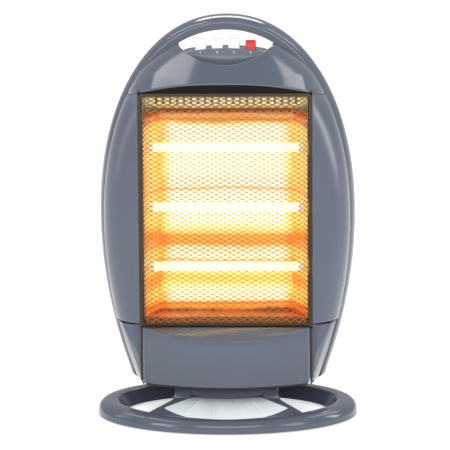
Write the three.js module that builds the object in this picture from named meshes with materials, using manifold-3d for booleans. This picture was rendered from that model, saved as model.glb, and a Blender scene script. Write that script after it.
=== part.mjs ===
// Oscillating halogen heater on an oval ring base.
// Millimetres, +Z up, front towards -Y. The origin is on the floor under the middle of the base.
import * as THREE from "three";
import { mergeVertices } from "three/addons/utils/BufferGeometryUtils.js";
import Module from "manifold-3d";

const wasm = await Module();
wasm.setup();

// ---------------------------------------------------------------- driving dimensions

const gap = 0.3;                 // air between two pieces that seat on each other

// Body outline, seen from the front: a superellipse above its widest height, a parabola below.
const bodyHalfWidth = 155.5;
const bodyTop = 484;
const bodyBottom = 38;
const bodyWidestAt = 240;
const bodyTaper = 38;            // how far each side draws in from the widest height down
const bodyRoundness = 2.12;
const bottomCorner = 9;

// Hoop: the arched rim that is also the carrying handle, split at its widest line.
const hoopFront = 12.3;
const hoopSplit = 32;
const hoopBack = 50;
const hoopWall = 3.2;
const frontRounding = 5.5;       // how far the hoop's front edge is drawn in
const backRounding = 5;
const handleThickness = 16.4;
const handleArc = 110;           // radius of the handle's underside
const fingerHalfWidth = 66;
const fingerFloor = 443;         // top of the body in the middle, under the fingers
const shoulderArc = 216;

// Rear housing behind the hoop.
const rearFace = 86;
const rearWall = 3;
const rearInset = 14;            // how far the rear bulge starts inside the hoop's outline
const rearCornerInset = 34;      // how much smaller its flat back is
const louvreHeight = 4;
const louvrePitch = 11;
const louvreLength = 120;
const upperLouvres = 8;
const lowerLouvres = 4;
const upperLouvreTop = 392;
const lowerLouvreTop = 128;

// Front shells.
const shellWall = 2.4;
const shellInset = 6;            // the front shells stop this far inside the hoop's outline
const shellRoundness = 2.35;
const hoodLipReach = 90;         // from the hoop's front face forward to the hood's lip
const hoodLipHeight = 415;
const hoodSlope = 1.37;          // how fast the hood falls back above its lip
const hoodArch = 15;             // the lip's rise over the guard's corners
const hoodSideDrop = 0.55;       // slope of the seam between hood and side column
const shoulderDraw = 8;          // the hood's shoulders draw in this much more,
const shoulderFoot = 420;        // from this height
const shoulderPeak = 452.5;      // up to this one
const shoulderReach = 112;       // the hoop's front is solid behind them out to here
const shoulderShelf = 412;       // and down to here
const scoopArc = 95;             // radius of the cut in front of the buttons
const scoopLowest = 434;

// Guard opening.
const columnWidth = 51.5;        // from the guard opening out to the body's widest side
const guardHalfWidth = bodyHalfWidth - columnWidth;
const guardTop = 399;
const guardBottom = 115;
const guardFace = -45;
const columnFlange = 21;         // depth of the column's return beside the guard
const columnBottom = 119;
const frameWidth = 4;
const frameDepth = 5;
const panDepth = 15;
const panSideSlope = 7.5;
const panTopSlope = 16;
const panFootSlope = 3;
const panSheet = 1;
const netPitchX = 22.5;
const netPitchZ = 23;
const netStrand = 2.6;

// Apron under the guard.
const apronInset = 3.5;          // the apron is this much narrower than the guard on each side
const apronHalfWidth = guardHalfWidth - apronInset;
const apronBulge = 28;
const apronBottom = 47;
const apronFall = 11;            // how far the top ledge falls from back to front
const apronBack = -18;
const apronCorner = 5;
const apronWall = 2.5;

// Lower cheeks beside the apron.
const cheekSetback = 3;
const cheekFace = -36;
const cheekFaceLow = -27;
const cheekSideRounding = 0.3;   // share of the bottom's rounding that its outer side takes

// Heating chamber.
const lampCount = 3;
const lampHeight = 182;          // lowest lamp
const lampPitch = 73;
const lampDepth = -10;
const lampRadius = 5.5;
const lampWall = 1.2;
const filamentRadius = 1.2;
const ceramicRadius = 8.6;
const ceramicCollar = 11;
const ceramicLength = 12;
const socketDepth = 6;
const bracketSheet = 1.2;
const reflectorSheet = 0.8;
const reflectorBack = 22;
const troughDepth = 14;
const wingWidth = 24;            // the reflector's bent ends, from the guard's side to the bend
const wingBend = guardHalfWidth - wingWidth;
const wingHoleStart = wingBend + 4;   // the lamp holes in the bent ends start outside the bend
const wingFront = -30;
const chamberBottom = 122;
const combHeight = 22;
const combDepth = 0;
const combMargin = 10;
const combPitch = 8.4;
const combSlotWidth = 3;
const combSlotHeight = 13;
const shieldFace = 30;
const shieldSheet = 0.8;

// Controls.
const trayHeight = 428;
const trayThickness = 2.5;
const capHalfWidth = 52;
const capFront = -14;
const capBack = 24;
const capBackHeight = 449;
const capFall = 0.27;            // slope of the cap's top towards the front
const capCrown = 5;
const buttonPitch = 20;
const buttonWidth = 13.6;
const redButtonWidth = 12.4;
const buttonDepth = 11;
const buttonPlace = 4;
const buttonRise = 13;
const buttonTravel = 4;
const stemWidth = 5;
const bankHeight = 20;
const bankDepth = 15;

// Base: an oval ring whose front is one piece with the bridge that carries the neck.
const baseHalfWidth = 158;
const baseHalfDepth = 112;
const ringWidth = 33;
const ringHeight = 19;
const ringWall = 3;
const ringInnerSlope = 8;        // the inner wall leans out this far from top to bottom
const padHeight = 2;             // the base stands this high on its rubber pads
const padRadius = 8;
const padStem = 2.7;
const padTurn = 34;              // degrees from the long axis to each pad
const seamHalfWidth = 101;
const bridgeFrontHalfWidth = 89;
const bridgeBackHalfWidth = 46;
const neckHalfWidth = 56;
const neckFront = -34;
const neckBack = 58;
const neckTop = 33;
const browTop = 40;              // the neck's front wall stands up in front of the washer
const browBack = -24;
const trayLow = 15.5;            // the tray behind the front ring rises from here
const trayHigh = 26.5;           // to the foot of the neck
const insertFront = -93;
const insertBack = -36;
const insertFrontHalfWidth = 74;
const insertBackHalfWidth = 41.5;
const insertFrontArc = 97.5;
const insertBackArc = 198;
const insertThickness = 2;
const insertRibs = 4;
const coverThickness = 2;

// Swivel and its crank drive.
const swivelBack = 12;           // the swivel axis lies this far behind the ring's centre
const postRadius = 13;
const postTop = 54;
const spigotRadius = 8;
const washerRadius = 34;
const floorThickness = 3.4;
const collarHeight = 3;
const collarWall = 6;
const crankCentre = 30;
const crankThrow = 17.2;
const crankPinRadius = 2.5;
const slotWidth = 8.6;
const yokeThickness = 3;
const motorRadius = 25;
const motorHeight = 15;
const motorPost = 38;
const motorLug = 6;
const crankThickness = 3;
const crankHubRadius = 6.5;
const crankEndRadius = 4.5;
const shaftRadius = 2.5;

// Small parts inside the body.
const terminalPlace = [-64, -15];
const terminalWidth = 28;
const terminalDepth = 18;
const terminalHeight = 16;
const terminalPitch = 7;
const terminalBore = 2.2;
const cutoutAboveLamp = 30;
const cutoutRadius = 8;
const cutoutDepth = 9;
const cutoutEar = 16;
const cutoutTab = 4;

// Rear screws and cord gland.
const bossRadius = 6;
const screwRadius = 1.6;
const screwHeadRadius = 3.8;
const screwHead = 2.6;
const screwSink = 6;             // the screw heads sit this deep under the rear face
const screwLength = 28;
const screwPlaces = [[-88, 165], [88, 165], [-76, 335], [76, 335]];
const glandPlace = [62, 78];
const glandRadius = 7;
const glandBore = 4;
const glandFlange = 3;
const glandNose = 6;

// Tip-over switch in the base.
const plungerPlace = [30, -8];
const plungerRadius = 4.5;
const plungerTravel = 6;
const plungerFlange = 3;
const plungerFlangeThickness = 1.7;
const switchWidth = 24;
const switchDepth = 22;
const cablePassRadius = 5;
const plungerLift = 0.3;         // the plunger's tip clears the floor by this

// ---------------------------------------------------------------- making solids

const up = new THREE.Vector3(0, 0, 1);
const right = new THREE.Vector3(1, 0, 0);
const back = new THREE.Vector3(0, 1, 0);

// A closed mesh of points and triangles, turned so that its faces point out.
function closed(points, triangles) {
  let volume = 0;
  for (let i = 0; i < triangles.length; i += 3) {
    const [a, b, c] = [points[triangles[i]], points[triangles[i + 1]], points[triangles[i + 2]]];
    volume += a.dot(new THREE.Vector3().crossVectors(b, c));
  }
  if (volume < 0) triangles.reverse();
  const geometry = new THREE.BufferGeometry().setFromPoints(points);
  geometry.setIndex(triangles);
  return solid(geometry);
}

function solid(geometry) {
  geometry.deleteAttribute("normal");
  geometry.deleteAttribute("uv");
  const merged = mergeVertices(geometry, 1e-4);
  return new wasm.Manifold(new wasm.Mesh({
    numProp: 3,
    vertProperties: new Float32Array(merged.attributes.position.array),
    triVerts: new Uint32Array(merged.index.array),
  }));
}

// The space between two sheets of points. outer(u, v) and inner(u, v) run over 0 to 1. Both are
// split along the same diagonals, so that a wall keeps its thickness where the sheets twist.
function between(outer, inner, across, along) {
  const points = [];
  for (let j = 0; j <= along; j++) {
    for (let i = 0; i <= across; i++) points.push(outer(i / across, j / along));
    for (let i = across; i >= 0; i--) points.push(inner(i / across, j / along));
  }
  const loop = 2 * (across + 1);
  const triangles = [];
  const quad = (a, b, c, d) => triangles.push(a, b, c, a, c, d);
  for (let j = 0; j < along; j++) {
    for (let i = 0; i < loop; i++) {
      const next = (i + 1) % loop;
      const [a, b] = [j * loop + i, j * loop + next];
      if (i <= across) quad(a, b, b + loop, a + loop);
      else quad(b, b + loop, a + loop, a);
    }
  }
  const last = along * loop;
  for (let i = 0; i < across; i++) {
    quad(loop - 1 - i, loop - 2 - i, i + 1, i);
    quad(last + i, last + i + 1, last + loop - 2 - i, last + loop - 1 - i);
  }
  return closed(points, triangles);
}

// Rings of points stacked on each other, closed at both ends to the middle of the ring.
function stack(rings) {
  const count = rings[0].length;
  const points = rings.flat();
  const triangles = [];
  for (let j = 0; j + 1 < rings.length; j++) {
    for (let i = 0; i < count; i++) {
      const next = (i + 1) % count;
      const [a, b] = [j * count + i, j * count + next];
      triangles.push(a, b, b + count, a, b + count, a + count);
    }
  }
  for (const [start, flip] of [[0, true], [(rings.length - 1) * count, false]]) {
    const middle = new THREE.Vector3();
    for (let i = 0; i < count; i++) middle.addScaledVector(points[start + i], 1 / count);
    const centre = points.push(middle) - 1;
    for (let i = 0; i < count; i++) {
      const edge = [start + i, start + (i + 1) % count];
      if (flip) edge.reverse();
      triangles.push(edge[0], edge[1], centre);
    }
  }
  return closed(points, triangles);
}

// A section carried round a closed path.
function hoopOf(at, around, sides) {
  const points = [];
  const triangles = [];
  for (let j = 0; j < around; j++) {
    for (let i = 0; i < sides; i++) {
      points.push(at(i, j / around));
      const [a, b] = [j * sides + i, j * sides + (i + 1) % sides];
      const onward = (k) => (k + sides) % (around * sides);
      triangles.push(a, b, onward(b), a, onward(b), onward(a));
    }
  }
  return closed(points, triangles);
}

// An outline pushed along an axis. Its plane is x-z for y, y-z for x and x-y for z.
function slab(outline, axis, from, to, segments = 24) {
  const shape = outline instanceof THREE.Shape ? outline : new THREE.Shape(outline);
  const geometry = new THREE.ExtrudeGeometry(shape, {
    depth: to - from, bevelEnabled: false, curveSegments: segments,
  });
  const turned = new THREE.Matrix4();
  if (axis === "x") turned.makeBasis(back, up, right).setPosition(from, 0, 0);
  if (axis === "y") turned.makeBasis(right, up, back.clone().negate()).setPosition(0, to, 0);
  if (axis === "z") turned.setPosition(0, 0, from);
  return solid(geometry.applyMatrix4(turned));
}

function flat(...pairs) {
  return pairs.map(([a, b]) => new THREE.Vector2(a, b));
}

function box(x0, x1, y0, y1, z0, z1) {
  return slab(flat([x0, y0], [x1, y0], [x1, y1], [x0, y1]), "z", z0, z1);
}

function disc(axis, a, b, radius, from, to, segments = 20) {
  const outline = new THREE.Shape().absarc(a, b, radius, 0, 2 * Math.PI, false);
  return slab(outline, axis, from, to, segments);
}

// A turned piece: pairs of radius and distance along the axis.
function turned(pairs, axis, place, segments = 16) {
  const geometry = new THREE.LatheGeometry(flat(...pairs), segments);
  const [x, y, z] = place;
  const matrix = new THREE.Matrix4();
  if (axis === "x") matrix.makeBasis(back, right, up.clone().negate());
  if (axis === "y") matrix.makeBasis(right, back, up);
  if (axis === "z") matrix.makeBasis(right, up, back.clone().negate());
  geometry.applyMatrix4(matrix.setPosition(x, y, z));
  const body = solid(geometry);
  return body.volume() < 0 ? mirroredInside(geometry) : body;
}

function mirroredInside(geometry) {
  const index = Array.from(geometry.index.array).reverse();
  geometry.setIndex(index);
  return solid(geometry);
}

function joined(...bodies) {
  return bodies.reduce((sum, body) => sum.add(body));
}

function without(body, ...tools) {
  return tools.reduce((left, tool) => left.subtract(tool), body);
}

// ---------------------------------------------------------------- materials

function material(color, roughness, metalness = 0) {
  return new THREE.MeshStandardMaterial({ color, roughness, metalness });
}

const slatePlastic = material(0x666d7b, 0.25);
const darkPlastic = material(0x4c525f, 0.35);
const blackPlastic = material(0x1c1d20, 0.5);
const whitePlastic = material(0xeef0f2, 0.3);
const redPlastic = material(0xc8202a, 0.3);
const paleInsert = material(0xc9d2d8, 0.35);
const rubber = material(0x202020, 0.9);
const blackWire = material(0x2a2420, 0.4, 0.6);
const mirrorSteel = material(0xe0d2b8, 0.12, 1);
const zincSteel = material(0xa9adb2, 0.35, 1);
const quartz = material(0xfff0c8, 0.05);
const tungsten = material(0xffb050, 0.4, 1);
const ceramic = material(0xe6e0d2, 0.8);

const heater = new THREE.Group();

function add(group, name, form, finish) {
  const mesh = form.getMesh();
  const geometry = new THREE.BufferGeometry();
  geometry.setAttribute("position", new THREE.BufferAttribute(mesh.vertProperties, 3));
  geometry.setIndex(new THREE.BufferAttribute(mesh.triVerts, 1));
  const piece = new THREE.Mesh(geometry, finish);
  piece.name = name;
  group.add(piece);
}

const base = new THREE.Group();
const swivel = new THREE.Group();
const body = new THREE.Group();
swivel.position.y = swivelBack;
body.position.y = swivelBack;
heater.add(base, swivel, body);

const sides = [["left", -1], ["right", 1]];

function mirrorX(body, side) {
  return side > 0 ? body : body.mirror([1, 0, 0]);
}

// ---------------------------------------------------------------- outline of the body

// Half the body's width at a height, drawn in by an inset.
function halfWidthAt(z, inset = 0) {
  const reach = bodyHalfWidth - inset;
  if (z < bodyWidestAt) {
    const fall = (bodyWidestAt - z) / (bodyWidestAt - bodyBottom);
    return reach - bodyTaper * fall ** 2;
  }
  const rise = Math.min((z - bodyWidestAt) / (bodyTop - bodyWidestAt - inset), 1);
  return reach * (1 - rise ** bodyRoundness) ** (1 / bodyRoundness);
}

// The outline as a ring of points at one depth. Rounding draws in its sides and top, a wall also
// its bottom.
function outlineRing(y, rounding, wall = 0, top = bodyTop) {
  const power = 2 / bodyRoundness;
  const arch = 24;
  const half = [];
  const inset = rounding + wall;
  const low = bodyBottom + wall;
  const corner = bottomCorner;
  half.push([0, low]);
  for (const turn of [0, 45, 90]) {
    const angle = THREE.MathUtils.degToRad(turn);
    const side = halfWidthAt(low + corner, inset) - corner;
    half.push([side + corner * Math.sin(angle), low + corner * (1 - Math.cos(angle))]);
  }
  const lowerSteps = 4;
  for (let i = 1; i < lowerSteps; i++) {
    const z = THREE.MathUtils.lerp(low + corner, bodyWidestAt, i / lowerSteps);
    half.push([halfWidthAt(z, inset), z]);
  }
  for (let i = 0; i <= arch / 2; i++) {
    const angle = (i / arch) * Math.PI;
    half.push([
      (bodyHalfWidth - inset) * Math.cos(angle) ** power,
      bodyWidestAt + (top - bodyWidestAt - inset) * Math.sin(angle) ** power,
    ]);
  }
  half[half.length - 1][0] = 0;
  const mirrored = half.slice(1, -1).reverse().map(([x, z]) => [-x, z]);
  return [...half, ...mirrored].map(([x, z]) => new THREE.Vector3(x, y, z));
}

// Height of the body's top under the handle.
function shoulderAt(x) {
  return fingerFloor - shoulderArc + Math.sqrt(shoulderArc ** 2 - x ** 2);
}

function shoulderLine(edge, offset) {
  return Array.from({ length: 15 }, (_, i) => {
    const x = THREE.MathUtils.lerp(-edge, edge, i / 14);
    return [x, shoulderAt(x) + offset];
  });
}

// The finger opening, between the body's top and the handle's underside.
function fingerOutline() {
  const centre = bodyTop - handleThickness - handleArc;
  const underside = shoulderLine(fingerHalfWidth, 0).reverse()
    .map(([x]) => [x, centre + Math.sqrt(handleArc ** 2 - x ** 2)]);
  return flat(...shoulderLine(fingerHalfWidth, 0), ...underside);
}

// The handle with the walls round the finger opening, which the hollow leaves standing. Its
// corners are the right side's.
function handleOutline(corners) {
  const left = corners.map(([x, z]) => [-x, z]).reverse();
  return flat(...shoulderLine(fingerHalfWidth + hoopWall, -hoopWall), ...corners, ...left);
}

// ---------------------------------------------------------------- hoop and rear housing

function hoopHalf(stations, wall) {
  return stack(stations.map(([y, rounding]) => outlineRing(y, rounding, wall)));
}

function makeHoop() {
  const frontStations = [
    [hoopFront, frontRounding], [hoopFront + 2, frontRounding * 0.72],
    [hoopFront + 10, frontRounding * 0.22], [hoopSplit - gap / 2, 0],
  ];
  const backStations = [
    [hoopSplit + gap / 2, 0], [hoopBack - 8, backRounding * 0.15],
    [hoopBack - 2, backRounding * 0.55], [hoopBack, backRounding],
  ];
  const finger = slab(fingerOutline(), "y", hoopFront - 1, rearFace + 1);
  const handleBlock = slab(handleOutline([[fingerHalfWidth + hoopWall, bodyTop]]), "y", hoopSplit,
    rearFace + 2);
  const shoulderBlock = slab(handleOutline([[shoulderReach, shoulderShelf], [shoulderReach, bodyTop]]),
    "y", hoopFront - 2, hoopSplit + 2);

  const washerRoom = disc("z", 0, 0, washerRadius + 1.5, bodyBottom - 1, floorLow, 24);
  const frontHollow = hoopHalf([
    [hoopFront - 1, frontRounding], [hoopFront + 10, frontRounding * 0.3], [hoopSplit + 1, 0],
  ], hoopWall);
  add(body, "hoop_front", without(hoopHalf(frontStations, 0), without(frontHollow, shoulderBlock), finger,
    washerRoom), slatePlastic);

  const bulgeTop = fingerFloor - rearWall - 2;
  const bulge = (wall, start, end) => stack([
    [start, rearInset], [THREE.MathUtils.lerp(hoopBack, rearFace, 0.45), rearInset + 4],
    [THREE.MathUtils.lerp(hoopBack, rearFace, 0.8), rearInset + 12], [end, rearCornerInset],
  ].map(([y, rounding]) => outlineRing(y, rounding, wall, bulgeTop + rearInset)));
  const shell = joined(hoopHalf(backStations, 0), bulge(0, hoopBack - 4, rearFace));
  const hollow = joined(
    without(hoopHalf([[hoopSplit - 1, 0], [hoopBack - 8, backRounding * 0.15],
      [hoopBack - rearWall, backRounding * 0.5]], hoopWall), handleBlock),
    bulge(rearWall, hoopBack - rearWall - 1, rearFace - rearWall),
  );
  const louvres = [];
  for (const [count, top] of [[upperLouvres, upperLouvreTop], [lowerLouvres, lowerLouvreTop]]) {
    for (let i = 0; i < count; i++) {
      const z = top - i * louvrePitch;
      louvres.push(box(-louvreLength / 2, louvreLength / 2, rearFace - 2 * rearWall, rearFace + 1,
        z - louvreHeight, z));
    }
  }
  const bosses = screwPlaces.map(([x, z]) =>
    disc("y", x, z, bossRadius, shieldFace + shieldSheet + gap, rearFace - rearWall / 2, 8));
  const bores = screwPlaces.flatMap(([x, z]) => [
    disc("y", x, z, screwRadius + gap, screwTip - 1, rearFace, 8),
    disc("y", x, z, screwHeadRadius + gap, screwSeat, rearFace + 1, 10),
  ]);
  const glandHole = disc("y", glandPlace[0], glandPlace[1], glandRadius + gap, rearFace - 9,
    rearFace + 1, 16);
  add(body, "rear_housing", without(joined(without(shell, hollow, finger), ...bosses), ...bores, ...louvres,
    glandHole, washerRoom), slatePlastic);
}

// ---------------------------------------------------------------- rear screws and cord gland

const screwSeat = rearFace - screwSink;
const screwTip = screwSeat - screwLength;

function makeRearFittings() {
  screwPlaces.forEach(([x, z], i) => {
    const head = screwSeat + gap;
    add(body, `rear_screw_${i + 1}`, turned([
      [0, screwTip], [screwRadius, screwTip + 2], [screwRadius, head], [screwHeadRadius, head],
      [screwHeadRadius, head + screwHead - 1], [screwHeadRadius - 1.2, head + screwHead],
      [0, head + screwHead],
    ], "y", [x, 0, z], 8), zincSteel);
  });
  const [x, z] = glandPlace;
  const flange = glandRadius + glandFlange;
  add(body, "cord_gland", turned([
    [glandBore, rearFace - rearWall - 5], [glandRadius, rearFace - rearWall - 5],
    [glandRadius, rearFace + gap], [flange, rearFace + gap], [flange, rearFace + 2],
    [glandBore + 1.5, rearFace + glandNose], [glandBore, rearFace + glandNose],
    [glandBore, rearFace - rearWall - 5],
  ], "y", [x, 0, z], 14), blackPlastic);
}

// ---------------------------------------------------------------- front shells

// How far the front shells reach forward of the hoop on the middle line, at a height.
// Beside the guard they pass through its front edge, and above it they fall back with the hood.
function reachAt(z, inset = 0) {
  const hood = hoodLipReach - hoodSlope * (z - hoodLipHeight);
  const share = guardHalfWidth / halfWidthAt(z, shellInset);
  if (share >= 1) return hood - inset;
  const beside = (hoopFront - guardFace) / (1 - share ** shellRoundness) ** (1 / shellRoundness);
  return Math.min(hood, beside) - inset;
}

// The shells' inset from the hoop's outline, which grows at the hood's shoulders.
function shellInsetAt(z) {
  const share = (z - shoulderFoot) / (shoulderPeak - shoulderFoot);
  return shellInset + shoulderDraw * THREE.MathUtils.clamp(share, 0, 1);
}

// A point of the shells' outer face: turn is 0 at the front and 90 degrees at the side.
function shellPoint(turn, z, inset = 0) {
  const power = 2 / shellRoundness;
  const [sine, cosine] = [Math.sin(turn), Math.cos(turn)];
  return new THREE.Vector3(
    halfWidthAt(z, shellInsetAt(z) + inset) * Math.sign(sine) * Math.abs(sine) ** power,
    hoopFront - gap - reachAt(z, inset) * Math.abs(cosine) ** power,
    z,
  );
}

// Height of the hood's lower edge: an arch over the guard, and the seam on the columns outside it.
function hoodEdgeAt(x) {
  const side = Math.abs(x);
  const corner = hoodLipHeight - hoodArch;
  if (side > guardHalfWidth) return corner - hoodSideDrop * (side - guardHalfWidth);
  return hoodLipHeight - hoodArch * (side / guardHalfWidth) ** 2.6;
}

function hoodEdgeOutline(offset, floor) {
  const reach = bodyHalfWidth;
  const arch = Array.from({ length: 17 }, (_, i) =>
    THREE.MathUtils.lerp(-guardHalfWidth, guardHalfWidth, i / 16));
  const edge = [-reach, ...arch, reach].map((x) => [x, hoodEdgeAt(x) + offset]);
  return flat(...edge, [reach, floor], [-reach, floor]);
}

function dome(inset, from, to) {
  const rear = hoopFront - gap + (inset > 0 ? 1 : 0);
  const outer = (u, v) => shellPoint((u - 0.5) * Math.PI, THREE.MathUtils.lerp(from, to, v), inset);
  const inner = (u, v) => {
    const point = outer(u, v);
    return new THREE.Vector3(point.x, rear, point.z);
  };
  const lifted = (u, v) => {
    const point = outer(u, v);
    point.y = Math.min(point.y, rear - 0.01);
    return point;
  };
  return between(lifted, inner, 24, 8);
}

function makeHood() {
  const lowest = hoodEdgeAt(bodyHalfWidth) - 4;
  const highest = bodyTop - shellInset - 12;
  const below = slab(hoodEdgeOutline(gap / 2, lowest - 20), "y", -hoodLipReach * 2, hoopFront + 1);
  const hollowFloor = slab(hoodEdgeOutline(gap / 2 + shellWall, lowest - 20), "y",
    -hoodLipReach * 2, hoopFront + 2);
  const scoop = disc("y", 0, scoopLowest + scoopArc, scoopArc, -hoodLipReach * 2, hoopFront + 1, 48);
  const hollow = without(dome(shellWall, lowest - 1, highest + 1), hollowFloor);
  const header = slab(flat(
    [-guardHalfWidth + gap, guardTop + gap], [guardHalfWidth - gap, guardTop + gap],
    [guardHalfWidth - gap, hoodLipHeight - hoodArch + 1], [30, hoodLipHeight + 1],
    [-30, hoodLipHeight + 1], [-guardHalfWidth + gap, hoodLipHeight - hoodArch + 1],
  ), "y", guardFace, guardFace + shellWall);
  const chamber = slab(flat([-guardHalfWidth + gap, guardTop - 10], [guardHalfWidth - gap, guardTop - 10],
    [guardHalfWidth - gap, hoodLipHeight + shellWall + 1],
    [-guardHalfWidth + gap, hoodLipHeight + shellWall + 1],
  ), "y", guardFace + shellWall, hoopFront + 1).intersect(dome(shellWall, lowest - 1, highest + 1));
  const shell = without(dome(0, lowest, highest), below, hollow, scoop, chamber);
  add(body, "front_hood", joined(shell, header), slatePlastic);
}

function makeColumns() {
  for (const [name, side] of sides) {
    const sheet = (inset) => (u, v) =>
      columnPoint(u, v, inset).multiply(new THREE.Vector3(side, 1, 1));
    add(body, `side_column_${name}`, between(sheet(0), sheet(shellWall), 11, 10), slatePlastic);
  }
}

// The column's section runs from the return beside the guard, round its front edge, to the hoop.
function columnPoint(u, v, inset) {
  const step = Math.round(u * 11);
  const low = columnBottom - 3 * u;
  let z = low;
  let point;
  const start = (height) =>
    Math.asin((guardHalfWidth / halfWidthAt(height, shellInset)) ** (shellRoundness / 2));
  for (let pass = 0; pass < 4; pass++) {
    const turn = THREE.MathUtils.lerp(start(z), Math.PI / 2, Math.max(0, step - 1) / 10);
    point = shellPoint(turn, z, inset);
    if (step <= 1) point.x = guardHalfWidth + inset;
    z = THREE.MathUtils.lerp(low, hoodEdgeAt(point.x) - gap, v);
  }
  point.z = z;
  if (step === 0) point.y = guardFace + columnFlange;
  if (step === 1) point.y = guardFace + inset;
  return point;
}

function makeApron() {
  const arc = (apronHalfWidth ** 2 + apronBulge ** 2) / (2 * apronBulge);
  const ledgeBack = guardBottom;
  const ledgeLine = guardFace - 5;
  const plan = (inset, rear) => {
    const shape = new THREE.Shape();
    const edge = apronHalfWidth - inset;
    const radius = arc - inset;
    const centre = ledgeLine - apronBulge + arc;
    const turn = Math.asin((edge - apronCorner) / radius);
    shape.moveTo(edge, rear);
    shape.lineTo(-edge, rear);
    shape.lineTo(-edge, ledgeLine + apronCorner);
    shape.quadraticCurveTo(-edge, centre - radius * Math.cos(turn) - 1,
      -radius * Math.sin(turn), centre - radius * Math.cos(turn));
    shape.absarc(0, centre, radius, 1.5 * Math.PI - turn, 1.5 * Math.PI + turn, false);
    shape.quadraticCurveTo(edge, centre - radius * Math.cos(turn) - 1, edge, ledgeLine + apronCorner);
    return shape;
  };
  const fall = apronFall / apronBulge;
  const above = (drop) => slab(flat(
    [ledgeLine + 60, ledgeBack - drop], [ledgeLine, ledgeBack - drop],
    [ledgeLine - 60, ledgeBack - drop - 60 * fall], [ledgeLine - 60, ledgeBack + 30],
    [ledgeLine + 60, ledgeBack + 30],
  ), "x", -apronHalfWidth - 5, apronHalfWidth + 5);
  const outer = without(slab(plan(0, apronBack), "z", apronBottom, ledgeBack + 5, 12), above(0));
  const inner = without(slab(plan(apronWall, apronBack + 5), "z", apronBottom - 5, ledgeBack + 5, 12),
    above(apronWall));
  add(body, "front_apron", without(outer, inner), slatePlastic);
}

// Lower cheek: two facets that meet in a ridge, drawn in under the column.
function makeCheeks() {
  const low = bodyBottom;
  const high = columnBottom - 3 - gap;
  const ring = (z, wall, rounding, rear = hoopFront - gap) => {
    const share = (z - low) / (high - low);
    const face = THREE.MathUtils.lerp(cheekFaceLow, cheekFace, share) + wall + rounding;
    const outside = halfWidthAt(z, shellInset + cheekSetback + wall + rounding * cheekSideRounding);
    const inside = apronHalfWidth + gap + wall;
    const ridge = THREE.MathUtils.lerp(inside, outside, THREE.MathUtils.lerp(0.42, 0.82, share));
    return [
      [inside, rear], [inside, face], [THREE.MathUtils.lerp(inside, ridge, 0.5), face + 1],
      [ridge, face + 9], [outside, face + 26], [outside, rear],
    ].map(([x, y]) => new THREE.Vector3(x, y, z));
  };
  const rounded = [[low, 4.5], [low + 2, 1.6], [low + 5, 0]].map(([z, draw]) => ring(z, 0, draw));
  const solidCheek = stack([...rounded, ring((low + high) / 2, 0, 0), ring(high, 0, 0)]);
  const hollow = stack([low + 8, (low + high) / 2, high + 1]
    .map((z) => ring(z, shellWall, 0, hoopFront + 1)));
  const cheek = without(solidCheek, hollow);
  for (const [name, side] of sides) add(body, `lower_cheek_${name}`, mirrorX(cheek, side), darkPlastic);
}

// ---------------------------------------------------------------- guard

function roundedFrame(halfWidth, bottom, top, corner) {
  const shape = new THREE.Shape();
  shape.moveTo(-halfWidth + corner, bottom);
  shape.lineTo(halfWidth - corner, bottom);
  shape.absarc(halfWidth - corner, bottom + corner, corner, -Math.PI / 2, 0, false);
  shape.absarc(halfWidth - corner, top - corner, corner, 0, Math.PI / 2, false);
  shape.absarc(-halfWidth + corner, top - corner, corner, Math.PI / 2, Math.PI, false);
  shape.absarc(-halfWidth + corner, bottom + corner, corner, Math.PI, 1.5 * Math.PI, false);
  return shape;
}

function makeGuard() {
  const edge = guardHalfWidth - gap;
  const [low, high] = [guardBottom + gap, guardTop];
  const frame = without(
    slab(roundedFrame(edge, low, high, 5), "y", guardFace - 1, guardFace + frameDepth, 4),
    slab(roundedFrame(edge - frameWidth, low + frameWidth, high - frameWidth, 3), "y",
      guardFace - 2, guardFace + frameDepth + 1, 4),
  );
  add(body, "guard_frame", frame, blackWire);

  const mouth = edge - frameWidth - gap;
  const [panLow, panHigh] = [low + frameWidth + gap, high - frameWidth - gap];
  const panBack = guardFace + frameDepth - 1;
  const front = guardFace - panDepth;
  const rim = (y, inset, share) => {
    const half = mouth - inset - panSideSlope * share;
    const [bottom, top] = [panLow + inset + panFootSlope * share, panHigh - inset - panTopSlope * share];
    const cut = 2;
    return [
      [-half + cut, bottom], [half - cut, bottom], [half, bottom + cut], [half, top - cut],
      [half - cut, top], [-half + cut, top], [-half, top - cut], [-half, bottom + cut],
    ].map(([x, z]) => new THREE.Vector3(x, y, z));
  };
  const pan = (inset, start) => stack([
    rim(start, inset, 1), rim(guardFace, inset, 0), rim(panBack + inset, inset, 0),
  ]);
  const netLow = panLow + panFootSlope;
  const netHigh = panHigh - panTopSlope;
  const columns = Math.floor((2 * (mouth - panSideSlope)) / netPitchX);
  const rows = Math.floor((2 * (netHigh - netLow)) / netPitchZ) - 1;
  const left = -((columns - 1) * netPitchX) / 2;
  const bottom = (netLow + netHigh - ((rows - 1) * netPitchZ) / 2) / 2;
  const reachX = netPitchX / 2 - netStrand * 0.75;
  const reachZ = netPitchZ / 2 - netStrand * 0.75;
  const holes = [];
  for (let row = 0; row < rows; row++) {
    const odd = row % 2;
    for (let column = 0; column < columns - odd; column++) {
      const x = left + (column + odd / 2) * netPitchX;
      const z = bottom + (row * netPitchZ) / 2;
      holes.push(slab(flat([x - reachX, z], [x, z - reachZ], [x + reachX, z], [x, z + reachZ]), "y",
        front - 1, front + panSheet + 1));
    }
  }
  const net = holes.reduce((sum, hole) => sum.add(hole));
  add(body, "mesh_guard", without(pan(0, front), pan(panSheet, front + panSheet), net), blackWire);
}

// ---------------------------------------------------------------- heating chamber

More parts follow.
